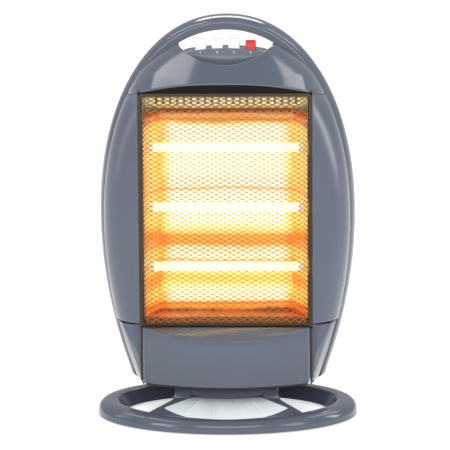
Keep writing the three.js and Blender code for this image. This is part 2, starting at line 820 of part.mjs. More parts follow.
const chamberHalfWidth = guardHalfWidth - frameWidth - 2;   // inner faces of the lamp brackets
const lampHeights = Array.from({ length: lampCount }, (_, i) => lampHeight + i * lampPitch);
const reflectorTop = lampHeights[lampCount - 1] + lampPitch * 0.6;
const chamberTop = guardTop - 3;

function makeReflector() {
  const edge = chamberHalfWidth - gap;
  const across = [-edge, -(edge + wingBend) / 2, -wingBend, wingBend, (edge + wingBend) / 2, edge];
  const depthAt = (x, z) => {
    const nearest = lampHeights.reduce((a, b) => (Math.abs(b - z) < Math.abs(a - z) ? b : a));
    const share = Math.min(Math.abs(z - nearest) / (lampPitch / 2), 1);
    const trough = reflectorBack - troughDepth * share ** 2;
    const bend = Math.max(0, (Math.abs(x) - wingBend) / (edge - wingBend));
    return THREE.MathUtils.lerp(trough, wingFront, bend);
  };
  const sheet = (shift) => (u, v) => {
    const x = across[Math.round(u * 5)];
    const z = THREE.MathUtils.lerp(chamberBottom, reflectorTop, v);
    return new THREE.Vector3(x, depthAt(x, z) + shift, z);
  };
  const trough = between(sheet(0), sheet(reflectorSheet), 5, 4 * lampCount);
  // The floor's rim runs inside the sheet's thickness.
  const middle = reflectorBack - troughDepth + reflectorSheet / 2;
  const floorFront = wingFront + 3;
  const floorEdge = wingBend + (edge - wingBend) * (middle - floorFront)
    / (reflectorBack - troughDepth - wingFront);
  const floor = slab(flat([-floorEdge, floorFront], [floorEdge, floorFront], [wingBend, middle],
    [-wingBend, middle]), "z", chamberBottom + 1, chamberBottom + 1 + reflectorSheet);
  const lampHoles = lampHeights.flatMap((z) => [[-edge - 1, -wingHoleStart], [wingHoleStart, edge + 1]]
    .map(([from, to]) => disc("x", lampDepth, z, ceramicRadius + 2, from, to, 8)));
  add(body, "reflector", without(joined(trough, floor), ...lampHoles), mirrorSteel);

  const slots = [];
  const slotTop = chamberTop - 4;
  const outerSlot = Math.floor((chamberHalfWidth - combMargin) / combPitch);
  for (let i = -outerSlot; i <= outerSlot; i++) {
    const x = i * combPitch;
    slots.push(box(x - combSlotWidth / 2, x + combSlotWidth / 2, combDepth - 1,
      combDepth + reflectorSheet + 1, slotTop - combSlotHeight, slotTop));
  }
  const wall = box(-edge, edge, combDepth, combDepth + reflectorSheet, chamberTop - combHeight, chamberTop);
  const roof = box(-edge, edge, guardFace + frameDepth + gap, combDepth + reflectorSheet,
    chamberTop - reflectorSheet, chamberTop);
  add(body, "reflector_comb", without(joined(wall, roof), ...slots), mirrorSteel);

  const wide = chamberHalfWidth + bracketSheet;
  add(body, "heat_shield", box(-wide, wide, shieldFace, shieldFace + shieldSheet, chamberBottom, chamberTop),
    zincSteel);
}

function makeLamps() {
  const inner = chamberHalfWidth;
  const bracketFront = guardFace + frameDepth + gap;
  const plate = (from, to) => slab(flat([bracketFront, chamberBottom], [shieldFace - gap, chamberBottom],
    [shieldFace - gap, chamberTop], [bracketFront, chamberTop]), "x", from, to);
  const holes = lampHeights.map((z) =>
    disc("x", lampDepth, z, ceramicRadius + gap, inner - 1, inner + bracketSheet + 1, 10));
  const flange = box(inner - 8, inner + 0.5, shieldFace - gap - bracketSheet, shieldFace - gap,
    chamberBottom, reflectorTop - 2);
  const bracket = joined(without(plate(inner, inner + bracketSheet), ...holes), flange);
  for (const [name, side] of sides) add(body, `lamp_bracket_${name}`, mirrorX(bracket, side), zincSteel);

  const nose = inner - ceramicLength + bracketSheet;
  const collar = inner + bracketSheet + gap;
  const socket = nose + socketDepth;
  lampHeights.forEach((z, i) => {
    const cap = turned([
      [lampRadius + gap, nose], [ceramicRadius, nose], [ceramicRadius, collar], [ceramicCollar, collar],
      [ceramicCollar, collar + 4], [0, collar + 4], [0, socket], [lampRadius + gap, socket],
      [lampRadius + gap, nose],
    ], "x", [0, lampDepth, z], 10);
    for (const [name, side] of sides) add(body, `end_cap_${name}_${i + 1}`, mirrorX(cap, side), ceramic);
    const half = socket - gap;
    const bore = lampRadius - lampWall;
    add(body, `lamp_${i + 1}`, turned([
      [bore, -half], [lampRadius, -half], [lampRadius, half], [bore, half], [bore, -half],
    ], "x", [0, lampDepth, z], 10), quartz);
    add(body, `filament_${i + 1}`, turned([
      [0, -half], [filamentRadius, -half], [filamentRadius, half], [0, half],
    ], "x", [0, lampDepth, z], 6), tungsten);
  });
}

// ---------------------------------------------------------------- controls

const buttonPlaces = [-1.5, -0.5, 0.5, 1.5].map((step) => step * buttonPitch);

function capTopAt(y) {
  return capBackHeight - capFall * (capBack - 4 - y);
}

function makeControls() {
  const inside = shellWall + 1.6;
  const rear = hoopFront - gap;
  const trayPlan = [];
  const steps = 20;
  for (let i = 0; i <= steps; i++) {
    const point = shellPoint((i / steps - 0.5) * Math.PI, trayHeight, inside);
    trayPlan.push([point.x, Math.min(point.y, rear - 1)]);
  }
  const side = halfWidthAt(trayHeight, shellInsetAt(trayHeight) + inside);
  const tray = slab(flat(...trayPlan, [side, rear], [-side, rear]), "z", trayHeight - trayThickness,
    trayHeight);

  const capShape = (inset) => {
    const shape = new THREE.Shape();
    const half = capHalfWidth - inset;
    const corner = 10 - inset;
    shape.moveTo(-half, capBack - inset - corner);
    shape.lineTo(-half, capFront + inset + corner);
    shape.quadraticCurveTo(-half, capFront + inset, -half + corner, capFront + inset);
    shape.lineTo(half - corner, capFront + inset);
    shape.quadraticCurveTo(half, capFront + inset, half, capFront + inset + corner);
    shape.lineTo(half, capBack - inset - corner);
    shape.quadraticCurveTo(half, capBack - inset, half - corner, capBack - inset);
    shape.lineTo(-half + corner, capBack - inset);
    shape.quadraticCurveTo(-half, capBack - inset, -half, capBack - inset - corner);
    return shape;
  };
  // Everything above the cap's crowned, sloping top.
  const above = (drop) => between(
    (u, v) => {
      const x = (u - 0.5) * 3 * capHalfWidth;
      const y = THREE.MathUtils.lerp(capFront - 5, capBack + 5, v);
      return new THREE.Vector3(x, y, capTopAt(y) - capCrown * (x / capHalfWidth) ** 2 - drop);
    },
    (u, v) => new THREE.Vector3((u - 0.5) * 3 * capHalfWidth,
      THREE.MathUtils.lerp(capFront - 5, capBack + 5, v), capBackHeight + 20),
    8, 1);
  const tall = capBackHeight + 10;
  const outer = without(slab(capShape(0), "z", trayHeight - 0.5, tall, 5), above(0));
  const inner = without(slab(capShape(shellWall), "z", trayHeight - 5, tall, 5), above(shellWall));
  const behind = slab(flat(...shoulderLine(fingerHalfWidth, gap),
    [fingerHalfWidth, trayHeight - 40], [-fingerHalfWidth, trayHeight - 40]), "y", rear, capBack + 5);
  const wells = buttonPlaces.map((x, i) => {
    const half = (i === 3 ? redButtonWidth : buttonWidth) / 2 + 2 * gap;
    return box(x - half, x + half, buttonPlace - buttonDepth / 2 - 2 * gap,
      buttonPlace + buttonDepth / 2 + 2 * gap, trayHeight - 10, tall);
  });
  const cap = without(outer, inner);
  add(body, "control_deck", without(joined(tray, cap), behind, ...wells), slatePlastic);

  const bankTop = trayHeight - trayThickness - gap;
  const bankHalf = 1.5 * buttonPitch + buttonWidth / 2 + 5;
  const bankFront = Math.min(buttonPlace - bankDepth / 2, rear - bankDepth - gap);
  const stemTop = bankTop - buttonTravel;
  const bank = box(-bankHalf, bankHalf, bankFront, bankFront + bankDepth, bankTop - bankHeight, bankTop);
  const stemHalf = stemWidth / 2;
  const pockets = buttonPlaces.map((x, i) => {
    const half = (i === 3 ? redButtonWidth : buttonWidth) / 2 + 2 * gap;
    return joined(
      box(x - half, x + half, buttonPlace - buttonDepth / 2 - 2 * gap, bankFront + bankDepth + 1,
        stemTop - 1, bankTop + 1),
      box(x - stemHalf - gap, x + stemHalf + gap, buttonPlace - stemHalf - gap,
        buttonPlace + stemHalf + gap, bankTop - bankHeight + 2, bankTop),
    );
  });
  add(body, "switch_bank", without(bank, ...pockets), blackPlastic);

  buttonPlaces.forEach((x, i) => {
    const red = i === 3;
    const half = (red ? redButtonWidth : buttonWidth) / 2;
    const foot = trayHeight - trayThickness + 1;
    const top = capTopAt(buttonPlace) + buttonRise - (red ? 2 : 0);
    const profile = new THREE.Shape();
    const [near, far] = [buttonPlace - buttonDepth / 2, buttonPlace + buttonDepth / 2];
    profile.moveTo(near, foot);
    profile.lineTo(far, foot);
    profile.lineTo(far, top - 2.5);
    profile.quadraticCurveTo(far, top, far - 2.5, top);
    profile.lineTo(near + 3.5, top);
    profile.quadraticCurveTo(near, top - 0.5, near, top - 4);
    const stem = box(x - stemHalf, x + stemHalf, buttonPlace - stemHalf, buttonPlace + stemHalf,
      bankTop - bankHeight + 2 + buttonTravel + gap, foot + 1);
    add(body, `button_${i + 1}`, joined(slab(profile, "x", x - half, x + half, 4), stem),
      red ? redPlastic : whitePlastic);
  });
}

// ---------------------------------------------------------------- floor, swivel and crank drive

const floorLow = bodyBottom + hoopWall + gap;
const floorTop = floorLow + floorThickness;
const yokeLow = postTop - 6;
const crankLow = yokeLow + yokeThickness + 3;
const crankHigh = crankLow + crankThickness;
const motorLow = crankHigh + 2;

function makeBodyFloor() {
  const half = apronHalfWidth - apronWall - gap;
  const front = guardFace - 5 - apronBulge * 0.55;
  const shape = new THREE.Shape();
  shape.moveTo(-half, hoopSplit);
  shape.lineTo(-half, guardFace + 4);
  shape.quadraticCurveTo(0, front - 18, half, guardFace + 4);
  shape.lineTo(half, hoopSplit);
  const plate = slab(shape, "z", floorLow, floorTop, 8);
  const collar = disc("z", 0, 0, postRadius + gap + collarWall, floorTop - 1, floorTop + collarHeight);
  const bore = disc("z", 0, 0, postRadius + gap, floorLow - 1, floorTop + collarHeight + 1);
  const posts = sides.map(([, side]) =>
    disc("z", side * motorPost, crankCentre - 10, motorLug - 1, floorTop - 1, motorLow - gap, 10));
  add(body, "body_floor", without(joined(plate, collar, ...posts), bore), blackPlastic);

  const [blockX, blockY] = terminalPlace;
  const block = box(blockX - terminalWidth / 2, blockX + terminalWidth / 2, blockY - terminalDepth / 2,
    blockY + terminalDepth / 2, floorTop + gap, floorTop + terminalHeight);
  const wells = [-1, 0, 1].map((step) => disc("z", blockX + step * terminalPitch, blockY, terminalBore,
    floorTop + terminalHeight / 2, floorTop + terminalHeight + 1, 8));
  add(body, "terminal_block", without(block, ...wells), whitePlastic);

  const cutoutZ = lampHeights[lampCount - 1] + cutoutAboveLamp;
  const cutoutBack = shieldFace + shieldSheet + gap;
  add(body, "thermal_cutout", joined(
    disc("y", 0, cutoutZ, cutoutRadius, cutoutBack, cutoutBack + cutoutDepth, 16),
    box(-cutoutEar, cutoutEar, cutoutBack, cutoutBack + bracketSheet, cutoutZ - 5, cutoutZ + 5),
    ...sides.map(([, side]) => box(side * cutoutTab - 1, side * cutoutTab + 1, cutoutBack + cutoutDepth - 1,
      cutoutBack + cutoutDepth + 6, cutoutZ - 2.5, cutoutZ + 2.5)),
  ), zincSteel);
}

function makeSwivel() {
  add(swivel, "swivel_post", turned([
    [0, neckTop + gap], [postRadius + 3, neckTop + gap], [postRadius + 3, neckTop + 3],
    [postRadius, neckTop + 3], [postRadius, yokeLow - gap], [spigotRadius, yokeLow - gap],
    [spigotRadius, postTop], [0, postTop],
  ], "z", [0, 0, 0], 18), zincSteel);

  const washerBore = postRadius + 3 + 2 * gap;
  add(swivel, "thrust_washer", turned([
    [washerBore, neckTop + gap], [washerRadius, neckTop + gap], [washerRadius, floorLow - gap],
    [washerBore, floorLow - gap], [washerBore, neckTop + gap],
  ], "z", [0, 0, 0], 20), whitePlastic);

  const reach = crankCentre + crankThrow + crankPinRadius + 6;
  const nearest = Math.hypot(crankCentre, crankThrow) - 8;
  const arm = new THREE.Shape();
  arm.absarc(0, 0, postRadius + 7, 0.75 * Math.PI, 2.25 * Math.PI, false);
  arm.lineTo(slotWidth / 2 + 4, reach - 6);
  arm.absarc(0, reach - slotWidth / 2 - 4, slotWidth / 2 + 4, 0, Math.PI, false);
  const plate = slab(arm, "z", yokeLow, yokeLow + yokeThickness, 12);
  const slotHalf = slotWidth / 2;
  const slotFar = crankCentre + crankThrow + crankPinRadius + 1;
  const slot = joined(
    box(-slotHalf, slotHalf, nearest, slotFar - slotHalf, yokeLow - 1, yokeLow + yokeThickness + 1),
    disc("z", 0, slotFar - slotHalf, slotHalf, yokeLow - 1, yokeLow + yokeThickness + 1, 10),
    disc("z", 0, nearest, slotHalf, yokeLow - 1, yokeLow + yokeThickness + 1, 10),
  );
  const hub = disc("z", 0, 0, spigotRadius + gap, yokeLow - 1, yokeLow + yokeThickness + 1, 16);
  add(swivel, "swing_yoke", without(plate, slot, hub), zincSteel);

  const nutLow = yokeLow + yokeThickness + gap;
  add(swivel, "yoke_nut", without(disc("z", 0, 0, spigotRadius + 5, nutLow, nutLow + 2.4, 3),
    disc("z", 0, 0, spigotRadius + gap, nutLow - 1, nutLow + 3, 16)), zincSteel);

  const crankArm = joined(
    disc("z", 0, crankCentre, crankHubRadius, crankLow, crankHigh, 16),
    box(-crankEndRadius, crankEndRadius, crankCentre, crankCentre + crankThrow, crankLow, crankHigh),
    disc("z", 0, crankCentre + crankThrow, crankEndRadius, crankLow, crankHigh, 12),
    disc("z", 0, crankCentre + crankThrow, crankPinRadius, yokeLow - 0.5, crankLow + 1, 12),
  );
  const shaftBore = disc("z", 0, crankCentre, shaftRadius + gap, crankLow - 1, crankHigh + 1, 12);
  add(body, "crank_arm", without(crankArm, shaftBore), whitePlastic);

  const motorSeat = crankCentre - 10;
  add(body, "swing_motor", joined(
    disc("z", 0, crankCentre, motorRadius, motorLow, motorLow + motorHeight, 20),
    box(-motorPost - motorLug, motorPost + motorLug, motorSeat - motorLug, motorSeat + motorLug, motorLow,
      motorLow + 1.5),
    disc("z", 0, crankCentre, shaftRadius, crankLow, motorLow + 1, 12),
  ), zincSteel);
}

// ---------------------------------------------------------------- base

// The ring's section is an upturned channel: half round outside, with a leaning inner wall.
function ringSection(wall) {
  const half = ringWidth / 2 - wall;
  const rise = ringHeight - padHeight - wall;
  const slopeTop = -half + ringInnerSlope + wall * 0.2;
  const crown = 1.5;
  const points = [];
  const steps = wall > 0 ? 3 : 5;
  for (let i = 0; i <= steps; i++) {
    const angle = (i / steps) * Math.PI / 2;
    points.push([crown + (half - crown) * Math.cos(angle) ** 0.8,
      padHeight + rise * Math.sin(angle) ** 0.8]);
  }
  points.push([slopeTop, padHeight + rise - 1.5], [-half, padHeight]);
  return points;
}

const ringMiddleX = baseHalfWidth - ringWidth / 2;
const ringMiddleY = baseHalfDepth - ringWidth / 2;
const ringInnerY = baseHalfDepth - ringWidth;

// A point at an angle round the ring, offset outwards from its middle line.
function ringPoint(angle, offset) {
  const along = new THREE.Vector2(ringMiddleX * Math.cos(angle), ringMiddleY * Math.sin(angle));
  const outward = new THREE.Vector2(Math.cos(angle) / ringMiddleX, Math.sin(angle) / ringMiddleY);
  return along.addScaledVector(outward.normalize(), offset);
}

function wholeRing(section) {
  return hoopOf((i, share) => {
    const [offset, z] = section[i];
    const place = ringPoint(share * 2 * Math.PI, offset);
    return new THREE.Vector3(place.x, place.y, z);
  }, 38, section.length);
}

// The front sector of the ring, out to its seams.
function frontSector(spread) {
  const seamDepth = ringMiddleY * Math.sqrt(1 - (seamHalfWidth / ringMiddleX) ** 2);
  const reach = 3;
  return slab(flat([0, spread * 2], [-(seamHalfWidth + spread) * reach, -seamDepth * reach],
    [(seamHalfWidth + spread) * reach, -seamDepth * reach]), "z", -5, neckTop + 20);
}

function bridgePlan(inset) {
  const front = -ringInnerY;
  return flat(
    [-bridgeFrontHalfWidth + inset, front - 8], [bridgeFrontHalfWidth - inset, front - 8],
    [bridgeFrontHalfWidth - inset, front + 4], [neckHalfWidth - inset, neckFront + inset],
    [neckHalfWidth - inset, neckBack - inset], [bridgeBackHalfWidth - inset, ringInnerY - gap - inset],
    [-bridgeBackHalfWidth + inset, ringInnerY - gap - inset], [-neckHalfWidth + inset, neckBack - inset],
    [-neckHalfWidth + inset, neckFront + inset], [-bridgeFrontHalfWidth + inset, front + 4],
  );
}

// Side view of the bridge: the tray's slope, the neck, and the fall to the rear of the ring.
function bridgeProfile(drop) {
  const front = -ringInnerY - 8;
  return flat(
    [front - 1, trayLow - 1 - drop], [front + 6, trayLow - drop], [neckFront - 4, trayHigh - drop],
    [neckFront + drop, browTop - 3 - drop], [neckFront + 3 + drop, browTop - drop],
    [browBack - drop, browTop - drop], [browBack - drop, neckTop - drop],
    [neckBack - 3 - drop, neckTop - drop], [neckBack - drop, neckTop - 3 - drop],
    [ringInnerY, trayLow - drop], [ringInnerY, -10], [front - 1, -10],
  );
}

function makeBase() {
  const section = [...ringSection(0), ...ringSection(ringWall).reverse()];
  const ring = wholeRing(section);
  const ringBody = wholeRing(ringSection(0));
  const under = (inset) => slab(bridgePlan(inset), "z", inset > 0 ? -5 : padHeight, neckTop + 10)
    .intersect(slab(bridgeProfile(inset), "x", -baseHalfWidth, baseHalfWidth));
  const channel = wholeRing(ringSection(ringWall)).intersect(frontSector(0));
  const tray = without(under(0), under(ringWall), channel);
  const cablePass = disc("z", 0, swivelBack, cablePassRadius, 0, neckTop + 5, 16);
  const bridge = without(joined(tray, ring.intersect(frontSector(0))), insertForm(gap), cablePass);
  add(base, "base_bridge", bridge, slatePlastic);
  add(base, "fan_insert", insertForm(0), paleInsert);

  const padPlaces = [padTurn, 180 - padTurn, 180 + padTurn, 360 - padTurn].map((turn) =>
    ringPoint(THREE.MathUtils.degToRad(turn), 0));
  const openRing = without(ring, frontSector(gap), slab(bridgePlan(-gap), "z", -5, neckTop));
  const bosses = padPlaces.map((p) => disc("z", p.x, p.y, padRadius - 2, padHeight, ringHeight - 2, 12));
  const bores = padPlaces.map((p) => disc("z", p.x, p.y, padStem + gap, 0, padHeight + 7, 10));
  add(base, "base_ring", without(joined(openRing, ...bosses.map((boss) =>
    boss.intersect(ringBody))), ...bores), slatePlastic);
  padPlaces.forEach((p, i) => {
    add(base, `rubber_pad_${i + 1}`, turned([
      [0, 0], [padRadius - 0.8, 0], [padRadius, 0.8], [padRadius, padHeight - gap],
      [padStem, padHeight - gap], [padStem, padHeight + 6], [0, padHeight + 6],
    ], "z", [p.x, p.y, 0], 10), rubber);
  });

  const coverLow = padHeight + 0.5;
  const coverTop = coverLow + coverThickness;
  const plungerHole = disc("z", ...plungerPlace, plungerRadius + gap, 0, coverTop + 5, 14);
  const cover = slab(bridgePlan(ringWall + gap), "z", coverLow, coverTop);
  add(base, "base_cover", without(cover, plungerHole, ringBodyGap(), cablePass), blackPlastic);

  const [x, y] = plungerPlace;
  const flangeLow = coverTop + plungerTravel + gap;
  const flangeTop = flangeLow + plungerFlangeThickness;
  const flangeRadius = plungerRadius + plungerFlange;
  const pocketTop = flangeTop + gap;
  const housing = box(x - switchWidth / 2, x + switchWidth / 2, y - switchDepth / 2, y + switchDepth / 2,
    coverTop + gap, pocketTop + 6);
  add(base, "tip_switch", without(housing, disc("z", x, y, flangeRadius + gap, 0, pocketTop, 16)),
    blackPlastic);
  add(base, "tip_plunger", turned([
    [0, plungerLift], [plungerRadius - 1.5, plungerLift], [plungerRadius, plungerLift + 1.5],
    [plungerRadius, flangeLow], [flangeRadius, flangeLow], [flangeRadius, flangeTop], [0, flangeTop],
  ], "z", [x, y, 0], 14), whitePlastic);
}

// The ring with a little air round it, for what lies beside it.
function ringBodyGap() {
  const half = ringWidth / 2 + gap;
  return wholeRing([[half, -5], ...ringSection(-gap), [-half, -5]]);
}

// The pale insert: a fan lying in the tray's slope, with raised ribs that spread to the front.
function insertForm(clearance) {
  const slope = Math.atan2(trayHigh - trayLow, neckFront - 2 + ringInnerY);
  const front = insertFront - clearance;
  const rear = insertBack + clearance;
  const frontHalf = insertFrontHalfWidth + clearance;
  const rearHalf = insertBackHalfWidth + clearance;
  const shape = new THREE.Shape();
  const frontTurn = Math.asin(frontHalf / insertFrontArc);
  const rearTurn = Math.asin(rearHalf / insertBackArc);
  shape.absarc(0, front + insertFrontArc, insertFrontArc, 1.5 * Math.PI - frontTurn,
    1.5 * Math.PI + frontTurn, false);
  shape.absarc(0, rear + insertBackArc, insertBackArc, 1.5 * Math.PI + rearTurn,
    1.5 * Math.PI - rearTurn, true);
  const seat = clearance > 0 ? 20 : insertThickness;
  const plate = slab(shape, "z", -clearance, seat, 12);
  const ribs = [];
  for (let i = 0; clearance === 0 && i < insertRibs; i++) {
    const share = (2 * (i + 1)) / (insertRibs + 1) - 1;
    const near = new THREE.Vector2(share * insertBackHalfWidth * 1.3, insertBack - 6);
    const far = new THREE.Vector2(share * insertFrontHalfWidth * 1.05, insertFront + 14
      + 14 * Math.abs(share));
    const side = far.clone().sub(near).normalize().rotateAround(new THREE.Vector2(), Math.PI / 2);
    const rib = flat(...[[near, 0.5], [far, 1], [far, -1], [near, -0.5]].map(([p, half]) =>
      p.clone().addScaledVector(side, half).toArray()));
    ribs.push(slab(rib, "z", insertThickness - 0.5, insertThickness + 0.7));
  }
  return joined(plate, ...ribs)
    .translate([0, ringInnerY, 0])
    .rotate([THREE.MathUtils.radToDeg(slope), 0, 0])
    .translate([0, -ringInnerY, trayLow - insertThickness / 2]);
}

// ---------------------------------------------------------------- assembly

makeHoop();
makeRearFittings();
makeHood();
makeColumns();
makeApron();
makeCheeks();
makeGuard();
makeReflector();
makeLamps();
makeControls();
makeBodyFloor();
makeSwivel();
makeBase();

export default heater;
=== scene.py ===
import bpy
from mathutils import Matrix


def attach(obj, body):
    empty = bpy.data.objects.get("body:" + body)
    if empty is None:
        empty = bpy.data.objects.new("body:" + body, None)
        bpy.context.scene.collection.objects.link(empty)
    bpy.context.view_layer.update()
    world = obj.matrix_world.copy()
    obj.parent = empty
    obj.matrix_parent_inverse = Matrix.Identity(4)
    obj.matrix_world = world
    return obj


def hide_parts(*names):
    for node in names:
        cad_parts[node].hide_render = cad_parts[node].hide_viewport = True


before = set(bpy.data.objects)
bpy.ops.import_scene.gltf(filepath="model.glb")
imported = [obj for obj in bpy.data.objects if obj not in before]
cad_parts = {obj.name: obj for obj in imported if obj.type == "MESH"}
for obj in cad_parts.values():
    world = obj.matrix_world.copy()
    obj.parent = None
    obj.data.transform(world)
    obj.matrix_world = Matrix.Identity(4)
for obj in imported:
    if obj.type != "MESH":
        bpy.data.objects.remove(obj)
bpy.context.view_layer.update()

import math

import bmesh
import bpy
from mathutils import Matrix, Vector


# ---------- rubber feet
# Four soft black rubber feet, each a moulded disc with a stem that is pressed into a boss
# under the base ring. They lift the ring 2 mm off the floor.

mm = 0.001


def feed(tree, node, sockets):
    """Sets a node's sockets, each to a plain value or to what another node gives."""
    for socket, value in sockets.items():
        if isinstance(value, bpy.types.NodeSocket):
            tree.links.new(value, node.inputs[socket])
        else:
            node.inputs[socket].default_value = value


def added(tree, kind, sockets, **settings):
    """A new node of the given kind, with its settings made and its sockets fed."""
    node = tree.nodes.new("ShaderNode" + kind)
    for setting, value in settings.items():
        setattr(node, setting, value)
    feed(tree, node, sockets)
    return node


def moulded(name, colour, roughness, shift=0.05, grain=0.05, size=0.9 * mm):
    """A procedural finish: slow changes of tone and gloss, and a fine skin on the surface."""
    finish = bpy.data.materials.new(name)
    finish.use_nodes = True
    tree = finish.node_tree
    place = added(tree, "TexCoord", {}).outputs["Object"]
    cloud = added(tree, "TexNoise", {"Vector": place, "Scale": 1 / (70 * mm), "Detail": 4})
    tone = added(tree, "ValToRGB", {"Fac": cloud.outputs["Fac"]})
    for element, at, factor in zip(tone.color_ramp.elements, (0.3, 0.7), (1 - shift, 1 + shift)):
        element.position = at
        element.color = (*[min(part * factor, 1) for part in colour], 1)
    skin = added(tree, "TexNoise", {"Vector": place, "Scale": 1 / size, "Detail": 2})
    gloss = added(tree, "MapRange", {"Value": skin.outputs["Fac"], "From Min": 0.3, "From Max": 0.7,
                                     "To Min": max(roughness - 0.03, 0.02), "To Max": roughness + 0.04})
    bump = added(tree, "Bump", {"Height": skin.outputs["Fac"], "Strength": grain, "Distance": 0.3 * mm})
    feed(tree, tree.nodes["Principled BSDF"],
         {"Base Color": tone.outputs["Color"], "Roughness": gloss.outputs["Result"],
          "Normal": bump.outputs["Normal"]})
    return finish


def rounded(form, rounding, sharp, segments):
    """Rounds the edges at which the form turns by more than the given angle."""
    edges = [e for e in form.edges if e.is_manifold and e.calc_face_angle(0) > math.radians(sharp)]
    bmesh.ops.bevel(form, geom=edges, offset=rounding, offset_type="OFFSET", affect="EDGES",
                    segments=segments, profile=0.5, clamp_overlap=True, material=-1)
    return form


def meshed(name, form):
    mesh = bpy.data.meshes.new(name)
    form.to_mesh(mesh)
    form.free()
    return mesh


def placed(name, data):
    thing = bpy.data.objects.new(name, data)
    bpy.context.collection.objects.link(thing)
    return thing


def piece(name, form, body, finish, stands_for=(), crease=35):
    """A finished piece of the heater, riding on its body in place of plain solids."""
    mesh = meshed(name, form)
    mesh.materials.append(finish)
    mesh.polygons.foreach_set("use_smooth", [True] * len(mesh.polygons))
    mesh.set_sharp_from_angle(angle=math.radians(crease))
    made = placed(name, mesh)
    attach(made, body)
    if stands_for:
        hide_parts(*stands_for)


def refine(node, body, finish, rounding, sharp=28, segments=2):
    """A merged copy of a solid of the frame as a finished piece, with its sharp edges rounded."""
    form = bmesh.new()
    form.from_mesh(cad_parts[node].data)
    bmesh.ops.remove_doubles(form, verts=form.verts, dist=1e-6)
    bmesh.ops.dissolve_limit(form, angle_limit=math.radians(1), verts=form.verts, edges=form.edges)
    piece(node + "_part", rounded(form, rounding, sharp, segments), body, finish, [node])


foot_rubber = moulded("foot_rubber", (0.018, 0.018, 0.019), 0.75, grain=0.3, size=0.6 * mm)
for number in range(1, 5):
    refine(f"rubber_pad_{number}", "base_unit", foot_rubber, 0.3 * mm)


# ---------- base ring
# The oval base is moulded in two pieces of blue-grey plastic. This is the rear three quarters,
# an upturned channel with a ridge along its outer wall and a leaning inner wall.

ring_half = (141.4 * mm, 95.1 * mm)
ring_rise = 2 * mm
front_dip = 0.18
seam_reach = 101 * mm
hairline = 0.3 * mm
slate = (0.080, 0.096, 0.132)
slate_gloss = moulded("slate_gloss", slate, 0.13, shift=0.03, grain=0.015)


def sheet_of(across, along, place):
    """A grid laid on a surface; place(u, v) gives its points for u and v from 0 to 1."""
    form = bmesh.new()
    points = bmesh.ops.create_grid(form, x_segments=across, y_segments=along, size=0.5)["verts"]
    for point in points:
        point.co = place(point.co.x + 0.5, point.co.y + 0.5)
    return form


def facing_out(form):
    bmesh.ops.recalc_face_normals(form, faces=form.faces)
    return form


def close_up(form):
    """Joins the sheet's meeting edges, caps what stays open and turns its faces out."""
    bmesh.ops.remove_doubles(form, verts=form.verts, dist=1e-6)
    bmesh.ops.edgeloop_fill(form, edges=[e for e in form.edges if e.is_boundary])
    return facing_out(form)


def along_curve(points, share):
    """A point on a smooth curve through the given points."""
    reach = share * (len(points) - 1)
    step = min(int(reach), len(points) - 2)
    t = reach - step
    p = [Vector(points[min(max(step + k, 0), len(points) - 1)]) for k in (-1, 0, 1, 2)]
    return 0.5 * ((2 * p[1]) + (p[2] - p[0]) * t + (2 * p[0] - 5 * p[1] + 4 * p[2] - p[3]) * t ** 2
                  + (3 * p[1] - p[0] - 3 * p[2] + p[3]) * t ** 3)


ring_crown = [(16.25, 8.8), (14.9, 12.5), (12.0, 15.9), (7.6, 18.2), (1.5, 18.95), (-4.5, 18.8),
              (-7.8, 17.8), (-9.2, 15.6)]
ring_outside = [(16.45, 2.0), (16.4, 5.5), *[tuple(along_curve(ring_crown, i / 20)) for i in range(21)],
                (-12.5, 9.5), (-16.5, 2.0)]
ring_inside = [(-13.6, 2.0), (-7.6, 13.0), (-4.6, 15.5), (1.5, 15.9), (7.0, 15.0), (11.0, 12.0), (13.4, 2.0)]
ring_section = [Vector((a, b)) * mm for a, b in ring_outside + ring_inside]


def ring_point(turn, offset, height):
    """A point beside the oval's middle line: turn 0 is at +X. The ring is lower at its front."""
    a, b = ring_half
    outward = Vector((math.cos(turn) / a, math.sin(turn) / b)).normalized()
    height *= 1 - front_dip * max(-math.sin(turn), 0) ** 3
    return Vector((a * math.cos(turn) + outward.x * offset, b * math.sin(turn) + outward.y * offset, height))


def ring_sector(start, end, steps):
    """The ring from one turn to another, closed at both ends."""
    count = len(ring_section)

    def place(u, v):
        offset, height = ring_section[round(v * count) % count]
        return ring_point(start + (end - start) * u, offset, height)
    return close_up(sheet_of(steps, count, place))


seam_turn = math.acos(seam_reach / ring_half[0])
half_gap = 0.5 * hairline / ring_half[1]
rear_ring = ring_sector(-seam_turn + half_gap, math.pi + seam_turn - half_gap, 150)
piece("rear_ring", rear_ring, "base_unit", slate_gloss, ["base_ring"], crease=14)


# ---------- base bridge
# The front of the oval is one moulding with the tray that slopes up behind it and with the
# neck on which the body turns. A cable pass runs up through the neck.

neck_half, neck_front, neck_back, neck_top = 62 * mm, -34 * mm, 58 * mm, 33 * mm
tray_front_half, tray_back_half, tray_low, tray_high = 98 * mm, 46 * mm, 15.5 * mm, 26.5 * mm
ring_inner_depth = 79 * mm
tray_front = -ring_inner_depth - 8 * mm
brow_top, brow_back = 40 * mm, -24 * mm
wall, edge_cut, neck_foot, below_floor = 3 * mm, 3 * mm, 4 * mm, -5 * mm


def block(points, axis, start, end):
    """An outline pushed along an axis: x-z outlines run along y, y-z along x and x-y along z."""
    form = bmesh.new()
    lift = {"x": lambda a, b, t: (t, a, b), "y": lambda a, b, t: (a, t, b), "z": lambda a, b, t: (a, b, t)}
    face = form.faces.new([form.verts.new(lift[axis](a, b, start)) for a, b in points])
    grown = bmesh.ops.extrude_face_region(form, geom=[face], use_keep_orig=True)["geom"]
    shift = Vector(lift[axis](0, 0, end - start))
    bmesh.ops.translate(form, vec=shift, verts=[v for v in grown if isinstance(v, bmesh.types.BMVert)])
    return facing_out(form)


